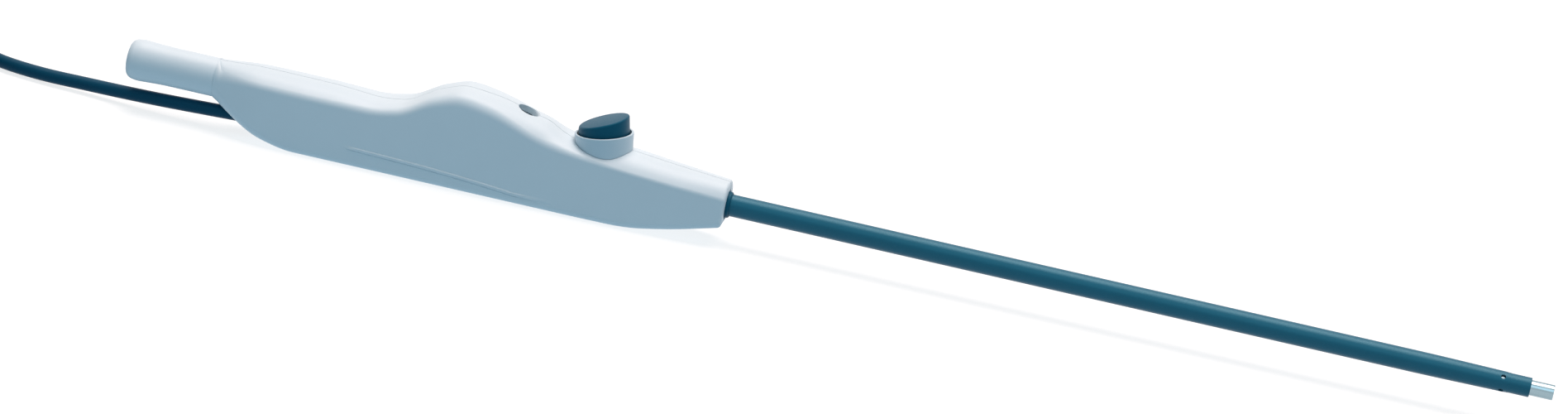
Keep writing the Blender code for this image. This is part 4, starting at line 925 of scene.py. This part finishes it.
# Floor, backdrop and light
def seen_rays(tree):
    """One for the rays that show white: from the camera, off metal or gloss, and through glass."""
    rays = tree.nodes.new("ShaderNodeLightPath")
    total = rays.outputs["Is Camera Ray"]
    for name in ("Is Glossy Ray", "Is Transmission Ray"):
        larger = tree.nodes.new("ShaderNodeMath")
        larger.operation = "MAXIMUM"
        tree.links.new(total, larger.inputs[0])
        tree.links.new(rays.outputs[name], larger.inputs[1])
        total = larger.outputs["Value"]
    return total


def make_floor():
    """A white floor with a faint shadow. The light that it throws back on the object is dim and pale blue."""
    bm = bmesh.new()
    bmesh.ops.create_grid(bm, x_segments=2, y_segments=2, size=12)
    mesh = bpy.data.meshes.new("floor")
    bm.to_mesh(mesh)
    bm.free()
    floor = bpy.data.objects.new("floor", mesh)
    bpy.context.scene.collection.objects.link(floor)
    floor.location.z = -0.0002
    material = bpy.data.materials.new("floor")
    material.use_nodes = True
    nodes, links = material.node_tree.nodes, material.node_tree.links
    shader = nodes["Principled BSDF"]
    shader.inputs["Base Color"].default_value = (0.3, 0.3, 0.3, 1)
    shader.inputs["Roughness"].default_value = 0.9
    shader.inputs["Specular IOR Level"].default_value = 0.1
    shader.inputs["Emission Color"].default_value = WHITE
    shader.inputs["Emission Strength"].default_value = 0.78
    bounce = nodes.new("ShaderNodeEmission")
    bounce.inputs["Color"].default_value = SURROUNDINGS
    bounce.inputs["Strength"].default_value = 0.66
    choice = nodes.new("ShaderNodeMixShader")
    links.new(seen_rays(material.node_tree), choice.inputs["Fac"])
    links.new(bounce.outputs["Emission"], choice.inputs[1])
    links.new(shader.outputs["BSDF"], choice.inputs[2])
    links.new(choice.outputs["Shader"], nodes["Material Output"].inputs["Surface"])
    mesh.materials.append(material)


def make_world():
    """A white surround for the rays that show it, and a dim pale blue one that lights the object."""
    world = bpy.data.worlds.new("studio")
    bpy.context.scene.world = world
    world.use_nodes = True
    nodes, links = world.node_tree.nodes, world.node_tree.links
    ambient = nodes["Background"]
    ambient.inputs["Color"].default_value = SURROUNDINGS
    ambient.inputs["Strength"].default_value = 0.24
    backdrop = nodes.new("ShaderNodeBackground")
    backdrop.inputs["Color"].default_value = WHITE
    backdrop.inputs["Strength"].default_value = 1.0
    choice = nodes.new("ShaderNodeMixShader")
    links.new(seen_rays(world.node_tree), choice.inputs["Fac"])
    links.new(ambient.outputs["Background"], choice.inputs[1])
    links.new(backdrop.outputs["Background"], choice.inputs[2])
    links.new(choice.outputs["Shader"], nodes["World Output"].inputs["Surface"])


def area_light(name, location, size, power, colour):
    """A rectangular lamp, unseen by the camera, that points at the middle of the object."""
    data = bpy.data.lights.new(name, "AREA")
    data.shape = "RECTANGLE"
    data.size, data.size_y = size
    data.energy = power
    data.color = colour
    light = bpy.data.objects.new(name, data)
    bpy.context.scene.collection.objects.link(light)
    light.location = location
    light.rotation_euler = (-Vector(location)).to_track_quat("-Z", "Y").to_euler()
    light.visible_camera = False


make_floor()
area_light("overhead", (0.05, 0.25, 1.3), (1.4, 1.0), 23.2, (1.0, 0.83, 0.77))
area_light("front", (0.15, -1.3, 1.15), (1.6, 0.9), 4.6, (0.62, 0.88, 1.0))
make_world()
bpy.context.scene.view_settings.view_transform = "Standard"
